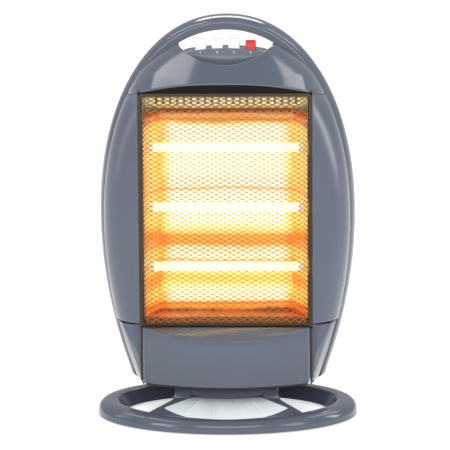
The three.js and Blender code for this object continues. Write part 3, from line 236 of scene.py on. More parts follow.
def moved(form, matrix):
    bmesh.ops.transform(form, matrix=matrix, verts=form.verts)
    return form


def rod(x, y, radius, start, end, axis="z", segments=40):
    """A plain round rod along an axis, used as a cutter."""
    form = bmesh.new()
    bmesh.ops.create_cone(form, cap_ends=True, segments=segments, radius1=radius, radius2=radius,
                          depth=end - start)
    turn = {"z": Matrix(), "y": Matrix.Rotation(math.radians(90), 4, "X"),
            "x": Matrix.Rotation(math.radians(90), 4, "Y")}[axis]
    middle = (start + end) / 2
    spot = {"z": (x, y, middle), "y": (x, middle, y), "x": (middle, x, y)}[axis]
    return moved(form, Matrix.Translation(spot) @ turn)


def worked(form, *steps):
    """The form after each step, such as ("UNION", tool)."""
    body = placed("scratch", meshed("scratch", form))
    tools = []
    for how, tool in steps:
        tools.append(placed("scratch", meshed("scratch", tool)))
        change = body.modifiers.new(how, "BOOLEAN")
        change.operation, change.object, change.solver = how, tools[-1], "EXACT"
    result = bmesh.new()
    result.from_object(body, bpy.context.evaluated_depsgraph_get())
    for thing in [body, *tools]:
        mesh = thing.data
        bpy.data.objects.remove(thing)
        bpy.data.meshes.remove(mesh)
    bmesh.ops.remove_doubles(result, verts=result.verts, dist=2e-6)
    return result


def cut(form, *tools):
    return worked(form, *[("DIFFERENCE", tool) for tool in tools])


def eased(form, rounding, sharp=40, segments=2):
    """Merges the form's flat faces and rounds its sharp edges."""
    bmesh.ops.dissolve_limit(form, angle_limit=math.radians(0.3), verts=form.verts, edges=form.edges)
    return rounded(form, rounding, sharp, segments)


def tray_plan(inset):
    corners = [(tray_front_half - inset, tray_front), (tray_front_half - inset, tray_front + 12 * mm),
               (neck_half - inset, neck_front + inset), (neck_half - inset, neck_back - inset),
               (tray_back_half - inset, ring_inner_depth - hairline - inset)]
    return corners + [(-x, y) for x, y in reversed(corners)]


def tray_profile(drop):
    return [(tray_front - mm, tray_low - mm - drop), (tray_front + 6 * mm, tray_low - drop),
            (neck_front - neck_foot, tray_high - drop), (neck_front + drop, brow_top - edge_cut - drop),
            (neck_front + edge_cut + drop, brow_top - drop), (brow_back - drop, brow_top - drop),
            (brow_back - drop, neck_top - drop), (neck_back - edge_cut - drop, neck_top - drop),
            (neck_back - drop, neck_top - edge_cut - drop), (ring_inner_depth, tray_low - drop),
            (ring_inner_depth, below_floor), (tray_front - mm, below_floor)]


def tray_block(inset, low):
    """The solid of the tray and its neck; a larger inset gives the hollow under them."""
    return worked(block(tray_plan(inset), "z", low, neck_top + 10 * mm),
                  ("INTERSECT", block(tray_profile(inset), "x", -150 * mm, 150 * mm)))


def ring_channel():
    """The open space under the front of the ring."""
    inside = [Vector((-13.6, -1)) * mm] + [Vector(p) * mm for p in ring_inside] + [Vector((13.4, -1)) * mm]
    count = len(inside)

    def place(u, v):
        offset, height = inside[round(v * count) % count]
        return ring_point(math.radians(-140 + 100 * u), offset, height)
    return close_up(sheet_of(60, count, place))


tray = eased(tray_block(0, ring_rise), 1.6 * mm, 20, 3)
tray = cut(tray, tray_block(wall, -10 * mm), ring_channel(), rod(0, 12 * mm, 5 * mm, 0, 50 * mm))
bridge = worked(ring_sector(math.pi + seam_turn + half_gap, 2 * math.pi - seam_turn - half_gap, 90),
                ("UNION", tray))

fan_arcs = ((74, -93, 97.5, 1), (41.5, -36, 198, -1))
insert_steep = math.atan2(tray_high - tray_low, neck_front - 2 * mm + ring_inner_depth)
insert_lay = (Matrix.Translation((0, -ring_inner_depth, tray_low - mm))
              @ Matrix.Rotation(insert_steep, 4, "X") @ Matrix.Translation((0, ring_inner_depth, 0)))


def fan(grow, start, end):
    """The insert's outline, laid on the tray's slope. Each arc has a half width, the place of its
    middle, a radius and the way it runs."""
    points = []
    for edge, middle, radius, way in fan_arcs:
        edge, middle = (edge + grow) * mm, (middle - way * grow) * mm
        turn = math.asin(edge / (radius * mm))
        points += [(radius * mm * math.sin(way * turn * (i / 16 - 1)),
                    middle + radius * mm * (1 - math.cos(turn * (i / 16 - 1)))) for i in range(33)]
    return moved(block(points, "z", start * mm, end * mm), insert_lay)


bridge = cut(bridge, fan(0.3, -0.3, 20))
piece("front_bridge", bridge, "base_unit", slate_gloss, ["base_bridge"], crease=16)


# ---------- fan insert
# A pale silver plastic plate clipped into the tray: a fan with four raised ribs that spread
# towards the front.

def together(*forms):
    """Several forms that don't touch, as one."""
    whole = bmesh.new()
    for form in forms:
        mesh = meshed("scratch", form)
        whole.from_mesh(mesh)
        bpy.data.meshes.remove(mesh)
    return whole


insert_silver = moulded("insert_silver", (0.74, 0.80, 0.83), 0.3, shift=0.04, grain=0.04)
rib_near, rib_far, rib_bottom, rib_top = 0.9, 1.5, 1.5 * mm, 3.5 * mm
ribs = []
for share in (-0.6, -0.2, 0.2, 0.6):
    near, far = Vector((share * 54, -42)), Vector((share * 77.7, -81 + 14 * abs(share)))
    along = (far - near).normalized()
    across = Vector((-along.y, along.x))
    corners = [near + across * rib_near, near - along * rib_near, near - across * rib_near,
               far - across * rib_far, far + along * rib_far, far + across * rib_far]
    ribs.append(moved(block([corner * mm for corner in corners], "z", rib_bottom, rib_top), insert_lay))
insert = worked(fan(0, 0, 2), ("UNION", together(*ribs)))
insert = eased(insert, 0.45 * mm, 25, 3)
piece("insert_plate", insert, "base_unit", insert_silver, ["fan_insert"], crease=30)


# ---------- underside of the base
# A flat black cover closes the bridge from below. The tip-over switch stands on it, with a
# white plunger that reaches down to the floor.

plain_black = moulded("plain_black", (0.02, 0.02, 0.022), 0.5, grain=0.12)
milk_white = moulded("milk_white", (0.83, 0.85, 0.87), 0.28, shift=0.02, grain=0.03)
refine("base_cover", "base_unit", plain_black, 0.3 * mm)
refine("tip_switch", "base_unit", plain_black, 0.5 * mm)
refine("tip_plunger", "tip_plunger", milk_white, 0.3 * mm)


# ---------- swivel
# A turned steel post stands on the neck, with a slippery white thrust washer round it. The
# slotted yoke on its tip, held by a nut, is what the crank pushes against.

def metal(name, colour, roughness):
    finish = moulded(name, colour, roughness, size=0.7 * mm)
    finish.node_tree.nodes["Principled BSDF"].inputs["Metallic"].default_value = 1.0
    return finish


zinc = metal("zinc", (0.46, 0.48, 0.50), 0.34)
refine("swivel_post", "base_unit", zinc, 0.4 * mm, 32)
refine("thrust_washer", "base_unit", milk_white, 0.4 * mm, 32)
refine("swing_yoke", "base_unit", zinc, 0.3 * mm, 40)
refine("yoke_nut", "base_unit", zinc, 0.3 * mm, 40)


# ---------- body floor, motor and crank
# The black body floor turns on the washer. It carries the swing motor, whose white crank pin
# runs in the yoke's slot, and the terminal block where the wiring meets.

refine("body_floor", "heater_body", plain_black, 0.5 * mm, 32)
refine("swing_motor", "heater_body", zinc, 0.5 * mm, 32)
refine("crank_arm", "crank", milk_white, 0.3 * mm, 32)
refine("terminal_block", "heater_body", milk_white, 0.5 * mm)


# ---------- heat shield and brackets
# Folded zinc-plated sheets: the flat shield behind the reflector, with the thermal cut-out on
# it, and the two side plates that hold the lamps.

refine("heat_shield", "heater_body", zinc, 0.2 * mm)
refine("thermal_cutout", "heater_body", zinc, 0.3 * mm, 40)
for side in ("left", "right"):
    refine(f"lamp_bracket_{side}", "heater_body", zinc, 0.2 * mm)


# ---------- lamps
# Three 400 W lamps: a clear quartz tube with a coiled tungsten filament down its middle, and
# a ceramic cap on each end that sits in a bracket.

lamp_heights = [182 * mm, 255 * mm, 328 * mm]
lamp_depth = 2 * mm
lamp_radius, quartz_wall = 5.5 * mm, 1.2 * mm
lamp_half = 90.6 * mm
coil_radius, wire_radius, coil_turns, turn_steps = 0.9 * mm, 0.28 * mm, 84, 9


def alight(finish, colour, strength):
    """The finish, glowing."""
    feed(finish.node_tree, finish.node_tree.nodes["Principled BSDF"],
         {"Emission Color": (*colour, 1), "Emission Strength": strength})
    return finish


quartz = bpy.data.materials.new("quartz")
quartz.use_nodes = True
tree = quartz.node_tree
spot = added(tree, "TexCoord", {})
streak = added(tree, "TexNoise", {"Vector": spot.outputs["Object"], "Scale": 120})
ripple = added(tree, "Bump", {"Height": streak.outputs["Fac"], "Strength": 0.05, "Distance": 0.5 * mm})
feed(tree, tree.nodes["Principled BSDF"],
     {"Base Color": (1.0, 0.96, 0.86, 1), "Roughness": 0.04, "IOR": 1.46, "Transmission Weight": 1.0,
      "Normal": ripple.outputs["Normal"]})
alight(quartz, (1.0, 0.78, 0.38), 0.7)
white_hot = alight(metal("white_hot", (0.9, 0.6, 0.3), 0.4), (1.0, 0.86, 0.55), 2.2)
ceramic = moulded("ceramic", (0.74, 0.70, 0.61), 0.8, grain=0.2, size=0.5 * mm)
# The ceramic caps get a painted orange glow, standing in for the lamps' light falling on them.
alight(ceramic, (1.0, 0.52, 0.14), 0.55)

for number, height in enumerate(lamp_heights, 1):
    tube = bmesh.new()
    for radius, flip in ((lamp_radius, False), (lamp_radius - quartz_wall, True)):
        ends = bmesh.ops.create_cone(tube, cap_ends=False, segments=36, radius1=radius, radius2=radius,
                                     depth=2 * lamp_half)["verts"]
        if flip:
            bmesh.ops.reverse_faces(tube, faces=list({f for v in ends for f in v.link_faces}))
    rims = [e for e in tube.edges if e.is_boundary]
    bmesh.ops.bridge_loops(tube, edges=[e for e in rims if e.verts[0].co.z > 0])
    bmesh.ops.bridge_loops(tube, edges=[e for e in rims if e.verts[0].co.z < 0])
    lay = Matrix.Translation((0, lamp_depth, height)) @ Matrix.Rotation(math.radians(90), 4, "Y")
    piece(f"quartz_tube_{number}", moved(facing_out(tube), lay), "heater_body", quartz, [f"lamp_{number}"])

    coil = bmesh.new()
    bmesh.ops.create_circle(coil, cap_ends=False, radius=wire_radius, segments=6)
    stand = Matrix.Translation((coil_radius, 0, -lamp_half)) @ Matrix.Rotation(math.radians(90), 4, "X")
    moved(coil, stand)
    bmesh.ops.spin(coil, geom=coil.verts[:] + coil.edges[:], cent=(0, 0, 0), axis=(0, 0, 1),
                   dvec=(0, 0, 2 * lamp_half / (coil_turns * turn_steps)), angle=2 * math.pi * coil_turns,
                   steps=coil_turns * turn_steps, use_merge=False)
    piece(f"coil_{number}", moved(close_up(coil), lay), "heater_body", white_hot, [f"filament_{number}"])
    for side in ("left", "right"):
        refine(f"end_cap_{side}_{number}", "heater_body", ceramic, 0.5 * mm, 32)


# ---------- reflector
# A thin bright reflector sheet behind the lamps, pressed into a trough behind each one and
# bent forward at both ends. Its glow is painted light: emission in bands for the lamps' light on it, dim at
# its floor and top.

reflector_half = 97.7 * mm
reflector_low, reflector_high = 122 * mm, 371.8 * mm
trough_floor, trough_depth = 34 * mm, 14 * mm
wing_bend, wing_front = 80 * mm, -18 * mm
lamp_pitch = 73 * mm
sheet_wall, lip_drop = 0.8 * mm, 6 * mm
floor_front, floor_front_half, floor_back = -15 * mm, 96.3 * mm, 20.2 * mm
glow_from, glow_to, glow_edge = 120, 380, (66 * mm, 78 * mm)


def reflector_depth(x, z):
    away = min(min(abs(z - h) for h in lamp_heights) / (lamp_pitch / 2), 1)
    trough = trough_floor - trough_depth * away ** 2
    bend = max(0, (abs(x) - wing_bend) / (reflector_half - wing_bend))
    return trough + (wing_front - trough) * bend


def reflector_place(u, v):
    x = (2 * u - 1) * reflector_half
    z = reflector_low + (reflector_high - reflector_low) * v
    return Vector((x, reflector_depth(x, z), z))


def glowing(name, stops, wings, strength):
    """A warm-tinted metal sheet with a painted glow: emission in bands of the given height, warmer on its
    wings, standing in for the lamps' light on it.
    """
    finish = metal(name, (0.34, 0.20, 0.09), 0.25)
    tree = finish.node_tree
    place = added(tree, "TexCoord", {}).outputs["Object"]
    stretch = added(tree, "Mapping", {"Vector": place, "Scale": (0.5, 1, 2.2)})
    wobble = added(tree, "TexNoise", {"Vector": stretch.outputs["Vector"], "Scale": 22, "Detail": 3})
    axes = added(tree, "SeparateXYZ", {"Vector": place})
    shift = added(tree, "Math", {0: wobble.outputs["Fac"], 1: 12 * mm, 2: -6 * mm}, operation="MULTIPLY_ADD")
    height = added(tree, "Math", {0: axes.outputs["Z"], 1: shift.outputs["Value"]}, operation="ADD")
    share = added(tree, "MapRange", {"Value": height.outputs["Value"], "From Min": glow_from * mm,
                                     "From Max": glow_to * mm})
    bands = added(tree, "ValToRGB", {"Fac": share.outputs["Result"]})
    ramp = bands.color_ramp.elements
    ramp.remove(ramp[-1])
    for number, (at, colour) in enumerate(stops):
        at = (at - glow_from) / (glow_to - glow_from)
        element = ramp[0] if number == 0 else ramp.new(at)
        element.position = at
        element.color = (*colour, 1)
    side = added(tree, "Math", {0: axes.outputs["X"]}, operation="ABSOLUTE")
    edge = added(tree, "MapRange", {"Value": side.outputs["Value"], "From Min": glow_edge[0],
                                    "From Max": glow_edge[1]})
    mix = added(tree, "Mix", {}, data_type="RGBA", blend_type="MULTIPLY")
    feed(tree, mix, {0: edge.outputs["Result"], 6: bands.outputs["Color"], 7: (*wings, 1)})
    feed(tree, tree.nodes["Principled BSDF"],
         {"Emission Color": mix.outputs[2], "Emission Strength": strength})
    return finish


hot_white, cream = (1.0, 0.97, 0.72), (1.0, 0.86, 0.45)
amber, ember, brown = (1.0, 0.36, 0.05), (0.72, 0.16, 0.02), (0.16, 0.035, 0.008)
glow_bands = [(122, brown), (124.5, brown), (126, ember), (129, amber), (133, ember), (137, cream),
              (143, hot_white), (152, cream), (158, amber), (166, amber), (171, cream), (174, hot_white),
              (180, hot_white), (183, amber), (187, hot_white), (199, cream), (204, amber), (222, amber),
              (228, cream), (234, hot_white), (270, hot_white), (273, amber), (275, hot_white),
              (325, hot_white), (349, hot_white), (353, cream), (356.5, amber), (358.5, brown),
              (361, brown), (363.5, ember), (366, brown), (371, brown)]
# Painted glow on the reflector sheet: emission bands for the lamps' light on it.
reflector_glow = glowing("reflector_glow", glow_bands, (1.0, 0.50, 0.12), 1.1)
reflector_sheet = sheet_of(80, 96, reflector_place)
bmesh.ops.solidify(reflector_sheet, geom=reflector_sheet.faces[:], thickness=-sheet_wall)
reflector_top = reflector_low + mm + sheet_wall
reflector_floor = block([(-wing_bend, floor_back), (wing_bend, floor_back), (floor_front_half, floor_front),
                         (-floor_front_half, floor_front)], "z", reflector_low + mm, reflector_top)
lip_front, lip_back = floor_front - sheet_wall, floor_front + 0.2 * mm
reflector_lip = block([(-floor_front_half, lip_front), (floor_front_half, lip_front),
                       (floor_front_half, lip_back), (-floor_front_half, lip_back)],
                      "z", reflector_low - lip_drop, reflector_top)
reflector_sheet = worked(facing_out(reflector_sheet), ("UNION", reflector_floor), ("UNION", reflector_lip))
piece("reflector_sheet", reflector_sheet, "heater_body", reflector_glow, ["reflector"], crease=30)

# The comb glows with painted light too: dim at its foot and pale on its teeth, for the lamps' light on it.
comb_painted_glow = glowing("comb_painted_glow", [(120, brown), (371, brown), (374, (0.35, 0.25, 0.10)),
                                      (378, (0.62, 0.55, 0.30)), (396, (0.75, 0.72, 0.48))],
                      (0.8, 0.85, 0.62), 0.75)
refine("reflector_comb", "heater_body", comb_painted_glow, 0.15 * mm, 40)


# ---------- guard
# A dark pressed frame fills the opening. In it sits the expanded steel net, which is bent
# forward into a shallow pan with slanting sides.

guard_half, guard_low, guard_high, guard_face = 104 * mm, 115 * mm, 399 * mm, -33 * mm
pan_half, pan_low, pan_high, pan_front = 91.9 * mm, 122.6 * mm, 378.7 * mm, -48 * mm
mouth_half, mouth_low, mouth_high, mouth_depth = 99.4 * mm, 119.6 * mm, 394.7 * mm, -33 * mm
diamond_wide, diamond_tall, strand, net_wall = 10.3 * mm, 5.6 * mm, 0.72 * mm, 0.6 * mm

guard_steel = metal("guard_steel", (0.055, 0.04, 0.03), 0.38)
refine("guard_frame", "heater_body", guard_steel, 0.8 * mm, 30, 3)


def slant(edge, mouth):
    """The length of a side of the pan, from the front plate's edge back to the mouth's."""
    return math.hypot(mouth - edge, mouth_depth - pan_front)


def on_pan(x, z):
    """Bends a flat net over the pan: what is past the front plate runs down its slanting sides."""
    back = 0.0
    side = math.copysign(1, x)
    if abs(x) > pan_half:
        back = (abs(x) - pan_half) / slant(pan_half, mouth_half)
        x = side * (pan_half + (mouth_half - pan_half) * back)
    for edge, mouth in ((pan_high, mouth_high), (pan_low, mouth_low)):
        share = (z - edge) / math.copysign(slant(edge, mouth), mouth - edge)
        if share > 0:
            z = edge + (mouth - edge) * share
            back = max(back, share)
    return Vector((x, pan_front + (mouth_depth - pan_front) * min(back, 1), z))


flat_half = pan_half + slant(pan_half, mouth_half)
flat_low = pan_low - slant(pan_low, mouth_low)
flat_high = pan_high + slant(pan_high, mouth_high)
columns = round(2 * flat_half / diamond_wide)
rows = round((flat_high - flat_low) / diamond_tall)
net = bmesh.new()
bmesh.ops.create_grid(net, x_segments=columns, y_segments=rows, size=0.5)
lines = net.edges[:]
bmesh.ops.poke(net, faces=net.faces[:])
bmesh.ops.dissolve_edges(net, edges=[e for e in lines if not e.is_boundary], use_verts=False)
for point in net.verts:
    point.co = Vector((point.co.x * 2 * flat_half, (point.co.y + 0.5) * (flat_high - flat_low) + flat_low, 0))
diamonds = net.faces[:]
bmesh.ops.inset_individual(net, faces=diamonds, thickness=strand / 2, use_even_offset=True)
bmesh.ops.delete(net, geom=diamonds, context="FACES")
for point in net.verts:
    point.co = on_pan(point.co.x, point.co.y)
facing_out(net)
bmesh.ops.solidify(net, geom=net.faces[:], thickness=net_wall)
net_steel = metal("net_steel", (0.22, 0.13, 0.06), 0.35)
piece("guard_net", facing_out(net), "heater_body", net_steel, ["mesh_guard"], crease=50)


# ---------- hoop and handle
# The body's rim is a moulded hoop in two halves. Its top is the carrying handle, a thick arch
# over an opening for the fingers.

body_back = 12 * mm
body_half, body_top, body_low, body_widest, body_taper = 155.5 * mm, 484 * mm, 38 * mm, 240 * mm, 38 * mm
roundness, low_corner = 2.12, 9 * mm
hoop_front, hoop_wall = 12.3 * mm, 3.2 * mm
handle_thick, handle_arc, finger_half, finger_floor, shoulder_arc = \
    16.4 * mm, 110 * mm, 66 * mm, 443 * mm, 216 * mm


def half_width(z, inset=0.0):
    reach = body_half - inset
    if z < body_widest:
        return reach - body_taper * ((body_widest - z) / (body_widest - body_low)) ** 2
    rise = min((z - body_widest) / (body_top - body_widest - inset), 1)
    return reach * max(1 - rise ** roundness, 0) ** (1 / roundness)


def body_outline(share, inset=0.0, wall=0.0, top=body_top):
    """A point of the body's outline: share runs from the bottom's middle up the right side and round."""
    k = 100 * (1 - abs(1 - 2 * share))
    way = 1 if share <= 0.5 else -1
    low, reach = body_low + wall, inset + wall
    foot = half_width(low + low_corner, reach) - low_corner
    if k < 10:
        x, z = foot * k / 10, low
    elif k < 18:
        turn = (k - 10) / 8 * math.pi / 2
        x, z = foot + low_corner * math.sin(turn), low + low_corner * (1 - math.cos(turn))
    elif k < 40:
        z = low + low_corner + (body_widest - low - low_corner) * (k - 18) / 22
        x = half_width(z, reach)
    else:
        turn, power = (k - 40) / 60 * math.pi / 2, 2 / roundness
        x = (body_half - reach) * max(math.cos(turn), 0) ** power
        z = body_widest + (top - body_widest - reach) * math.sin(turn) ** power
    return way * x, z


def outline_solid(stations, wall=0.0, top=body_top, steps=200):
    """The body's outline carried from front to back; each station is a depth and how far it is drawn in."""
    def place(u, v):
        depth, inset = stations[round(v * (len(stations) - 1))]
        x, z = body_outline(u % 1, inset * mm, wall, top)
        return Vector((x, depth * mm + body_back, z))
    return close_up(sheet_of(steps, len(stations) - 1, place))


def shoulder(x):
    return finger_floor - shoulder_arc + math.sqrt(shoulder_arc ** 2 - x ** 2)


def shoulder_line(edge, offset, steps=32):
    xs = [-edge + 2 * edge * i / steps for i in range(steps + 1)]
    return [(x, shoulder(x) + offset) for x in xs]


def finger_solid():
    """The opening for the fingers, from before the handle to behind it."""
    centre = body_top - handle_thick - handle_arc
    below = shoulder_line(finger_half, 0)
    above = [(x, centre + math.sqrt(handle_arc ** 2 - x ** 2)) for x, _ in reversed(below)]
    return block(below + above, "y", body_back, 90 * mm + body_back)


def bottom_hole():
    """The round opening in the hoop's bottom, over the swivel."""
    return rod(0, body_back, 35.5 * mm, 30 * mm, 41.5 * mm)


def handle_block(corners, start, end):
    """What a half's hollow leaves solid at the handle and its shoulders."""
    left = [(-x, z) for x, z in reversed(corners)]
    return block(shoulder_line(finger_half + hoop_wall, -hoop_wall) + corners + left, "y",
                 start + body_back, end + body_back)


front_shape = [(12.3, 9.0), (12.3, 6.6), (12.7, 5.7), (13.6, 5.0), (16, 3.7), (20, 2.2), (25, 0.9),
               (29, 0.25), (31.85, 0.0)]
front_hollow = cut(outline_solid([(11.0, 5.6), (22.3, 1.7), (33, 0)], hoop_wall),
                   handle_block([(112 * mm, 412 * mm), (112 * mm, body_top)], 5 * mm, 40 * mm))
front_half = cut(outline_solid(front_shape), front_hollow, finger_solid(), bottom_hole())
piece("hoop_front_half", front_half, "heater_body", slate_gloss, ["hoop_front"], crease=28)


# ---------- rear housing
# The rear half of the hoop carries on into the bulged back, one moulding with rows of air
# slots and four deep bores for the screws.

rear_face, rear_wall = 86, 3
rear_top = 452 * mm
rear_band = [(32.15, 0), (37, 0.15), (42, 0.75), (46, 1.9), (48.5, 3.3), (49.6, 4.4), (50, 5.6)]
rear_bulge = [(46, 14), (56, 15.2), (66.2, 18), (73, 21.8), (78.8, 26), (82.6, 29.6), (85, 32.6),
              (85.8, 34.4), (86, 36.5)]
screw_places = [(-88, 165), (88, 165), (-76, 335), (76, 335)]
gland_place = (62, 78)


def slot_tool(height):
    """One air slot with round ends, cut right through the rear wall."""
    half, rise = 60, 2
    points = []
    for end in (1, -1):
        for i in range(9):
            turn = math.radians(-90 + 22.5 * i)
            points.append((end * (half - rise + rise * math.cos(turn)) * mm,
                           (height - rise + end * rise * math.sin(turn)) * mm))
    return block(points, "y", (rear_face - 6) * mm + body_back, (rear_face + 1) * mm + body_back)


def at_screws(radius, start, end, segments=24):
    return [rod(x * mm, z * mm, radius * mm, start * mm + body_back, end * mm + body_back, "y", segments)
            for x, z in screw_places]


rear_hollow = worked(
    cut(outline_solid([(31, 0), (42, 0.75), (47, 2.5)], hoop_wall),
        handle_block([(finger_half + hoop_wall, body_top)], 0, 90 * mm)),
    ("UNION", outline_solid([(45, 14), (66.2, 18), (78.8, 26), (83, 33)], rear_wall * mm, rear_top)))
air_slots = together(*[slot_tool(height) for height in [*range(392, 314, -11), *range(128, 94, -11)]])
bosses = together(*at_screws(6, 31.1, 84.5))
gland_hole = rod(gland_place[0] * mm, gland_place[1] * mm, 7.3 * mm, 76 * mm + body_back,
                 88 * mm + body_back, "y", 32)
bores = together(*at_screws(4.1, 80, 88), gland_hole)
shafts = together(*at_screws(1.9, 50, 81, 12))
rear_shell = worked(outline_solid(rear_band), ("UNION", outline_solid(rear_bulge, 0.0, rear_top)))
rear_half = worked(rear_shell, ("DIFFERENCE", rear_hollow), ("DIFFERENCE", finger_solid()),
                   ("UNION", bosses), ("DIFFERENCE", bores), ("DIFFERENCE", shafts),
                   ("DIFFERENCE", air_slots), ("DIFFERENCE", bottom_hole()))
piece("rear_half", rear_half, "heater_body", slate_gloss, ["rear_housing"], crease=28)


# ---------- rear screws and cord gland
# Four sunk screws hold the halves together. Low on the back is the black gland for the cord.

for number in range(1, 5):
    refine(f"rear_screw_{number}", "heater_body", zinc, 0.2 * mm, 32)
refine("cord_gland", "heater_body", plain_black, 0.5 * mm, 32, 3)


# ---------- front hood
# The glossy hood over the guard: a domed shell whose lower lip arches over the net, scooped
# out at the top in front of the buttons.

shell_inset, shell_wall, shell_roundness = 6 * mm, 2.4 * mm, 2.35
lip_reach, lip_height, hood_slope, lip_arch, side_drop = 90 * mm, 415 * mm, 1.37, 15 * mm, 0.55
scoop_arc, scoop_lowest = 95 * mm, 434 * mm
shoulder_from, shoulder_to, shoulder_draw = 420 * mm, 452.5 * mm, 8 * mm


def inset_at(z):
    """How far the front shells stop inside the hoop's outline; the hood's shoulders are drawn in."""
    return shell_inset + shoulder_draw * min(max((z - shoulder_from) / (shoulder_to - shoulder_from), 0), 1)


def reach_at(z, inset=0.0):
    hood = lip_reach - hood_slope * (z - lip_height)
    share = guard_half / max(half_width(z, shell_inset), 1e-6)
    if share >= 1:
        return hood - inset
    beside = (hoop_front + 45 * mm) / (1 - share ** shell_roundness) ** (1 / shell_roundness)
    return min(hood, beside) - inset


def shell_point(turn, z, inset=0.0):
    power = 2 / shell_roundness
    x = half_width(z, inset_at(z) + inset) * math.copysign(abs(math.sin(turn)) ** power, math.sin(turn))
    y = hoop_front - hairline - reach_at(z, inset) * abs(math.cos(turn)) ** power
    return Vector((x, y + body_back, z))


def hood_edge(x):
    side = abs(x)
    if side > guard_half:
        return lip_height - lip_arch - side_drop * (side - guard_half)
    return lip_height - lip_arch * (side / guard_half) ** 2.6


def scoop_edge(x):
    if abs(x) >= scoop_arc:
        return 1.0
    return scoop_lowest + scoop_arc - math.sqrt(scoop_arc ** 2 - x ** 2)


def meet(turn, edge, low, high):
    """The height at which a line of the shell crosses an edge."""
    for _ in range(40):
        z = (low + high) / 2
        if z < edge(shell_point(turn, z).x):
            low = z
        else:
            high = z
    return (low + high) / 2


hood_turns = {}


def hood_place(u, v):
    if u not in hood_turns:
        turn = (u - 0.5) * math.pi
        low = meet(turn, lambda x: hood_edge(x) + hairline / 2, 340 * mm, 430 * mm)
        hood_turns[u] = (turn, low, meet(turn, scoop_edge, 425 * mm, 470 * mm))
    turn, low, high = hood_turns[u]
    return shell_point(turn, low + (high - low) * v)


def thickened(form, thickness, rounding, segments=3):
    """Gives a sheet its wall on the inner side and rounds the wall's edges."""
    facing_out(form)
    middle = sum((f.calc_center_median() for f in form.faces), Vector()) / len(form.faces)
    nearest = min(form.faces, key=lambda f: (f.calc_center_median() - middle).length)
    if nearest.normal.y > 0:
        bmesh.ops.reverse_faces(form, faces=form.faces)
    bmesh.ops.solidify(form, geom=form.faces[:], thickness=thickness)
    return rounded(facing_out(form), rounding, 50, segments)


hood_shell = thickened(sheet_of(120, 30, hood_place), shell_wall, 1.05 * mm)
piece("hood_shell", hood_shell, "heater_body", slate_gloss, ["front_hood"], crease=40)


# ---------- hood header
# A flat plate moulded inside the hood closes the gap above the guard. It lies in deep shade,
# and its near-black colour is painted shade.

header_side = lip_height - lip_arch + 2 * mm
header_line = [(-60 * mm, lip_height - mm), (-20 * mm, lip_height + mm), (20 * mm, lip_height + mm),
               (60 * mm, lip_height - mm)]
header = block([(-guard_half + hairline, guard_high + hairline), (-guard_half + hairline, header_side),
                *header_line, (guard_half - hairline, header_side),
                (guard_half - hairline, guard_high + hairline)], "y", guard_face, guard_face + shell_wall)
# Painted shade: the plate is coloured near black for the deep shade under the hood's lip.
header_painted_shade = moulded("header_painted_shade", (0.010, 0.007, 0.006), 0.5, grain=0.06)
header_painted_shade.node_tree.nodes["Principled BSDF"].inputs["Specular IOR Level"].default_value = 0.12
piece("hood_header", header, "heater_body", header_painted_shade, crease=40)


# ---------- side columns
# A tall moulded column on each side of the guard, from the hood's seam down to the cheeks,
# with a return beside the net.

column_low, column_flange = 119 * mm, 21 * mm
column_steps, flange_steps = 44, 4


def column_place(u, v):
    step = round(u * column_steps)
    low = column_low - 3 * mm * u
    z, point = low, None
    for _ in range(5):
        start = math.asin((guard_half / half_width(z, shell_inset)) ** (shell_roundness / 2))
        turn = start + (math.pi / 2 - start) * max(0, step - flange_steps) / (column_steps - flange_steps)
        point = shell_point(turn, z)
        z = low + (hood_edge(point.x) - hairline - low) * v
    point.z = z
    if step < flange_steps:
        point.x = guard_half
        point.y = guard_face + column_flange * (1 - step / flange_steps)
    return point


column_slate = moulded("column_slate", slate, 0.24, shift=0.03, grain=0.02)
for side, way in (("left", -1), ("right", 1)):
    column = sheet_of(column_steps, 60, column_place)
    for point in column.verts:
        point.co.x *= way
    piece(f"column_{side}", thickened(column, shell_wall, 0.5 * mm, 2), "heater_body", column_slate,
          [f"side_column_{side}"], crease=40)


# ---------- front apron
# The bowed panel under the guard, moulded in the hood's glossy plastic, with a ledge that
# slopes down from the net to its front. It is clipped in between the cheeks.

apron_half, apron_bulge, apron_low, apron_fall = 100.5 * mm, 28 * mm, 47 * mm, 11 * mm
ledge_line = -50 * mm + body_back
apron_rear = -18 * mm + body_back
apron_corner = 5 * mm


def apron_plan(inset, rear):
    arc = (apron_half ** 2 + apron_bulge ** 2) / (2 * apron_bulge)
    edge, radius = apron_half - inset, arc - inset
    centre = ledge_line - apron_bulge + arc
    turn = math.asin((edge - apron_corner) / radius)
    bow = [(radius * math.sin(turn * (i / 30 - 1)), centre - radius * math.cos(turn * (i / 30 - 1)))
           for i in range(61)]
    corner_start, corner_end = Vector((-edge, ledge_line + apron_corner)), Vector(bow[0])
    hinge = Vector((-edge, bow[0][1] - mm))
    left = []
    for i in range(8):
        t = i / 8
        left.append(tuple(corner_start * (1 - t) ** 2 + hinge * 2 * t * (1 - t) + corner_end * t ** 2))
    return [(-edge, rear)] + left + bow + [(-x, y) for x, y in reversed(left)] + [(edge, rear)]


def apron_cut(form, drop):
    """Cuts the form level at the net and sloping forward of it."""
    steep = math.atan2(apron_fall, apron_bulge)
    top = guard_low - drop
    for spot_on_cut, normal in (((0, ledge_line, top), (0, 0, 1)),
                                ((0, ledge_line, top), (0, -math.sin(steep), math.cos(steep)))):
        bmesh.ops.bisect_plane(form, geom=form.verts[:] + form.edges[:] + form.faces[:],
                               plane_co=spot_on_cut, plane_no=normal, clear_outer=True)
        rims = [e for e in form.edges if e.is_boundary]
        if rims:
            bmesh.ops.edgeloop_fill(form, edges=rims)
    return facing_out(form)


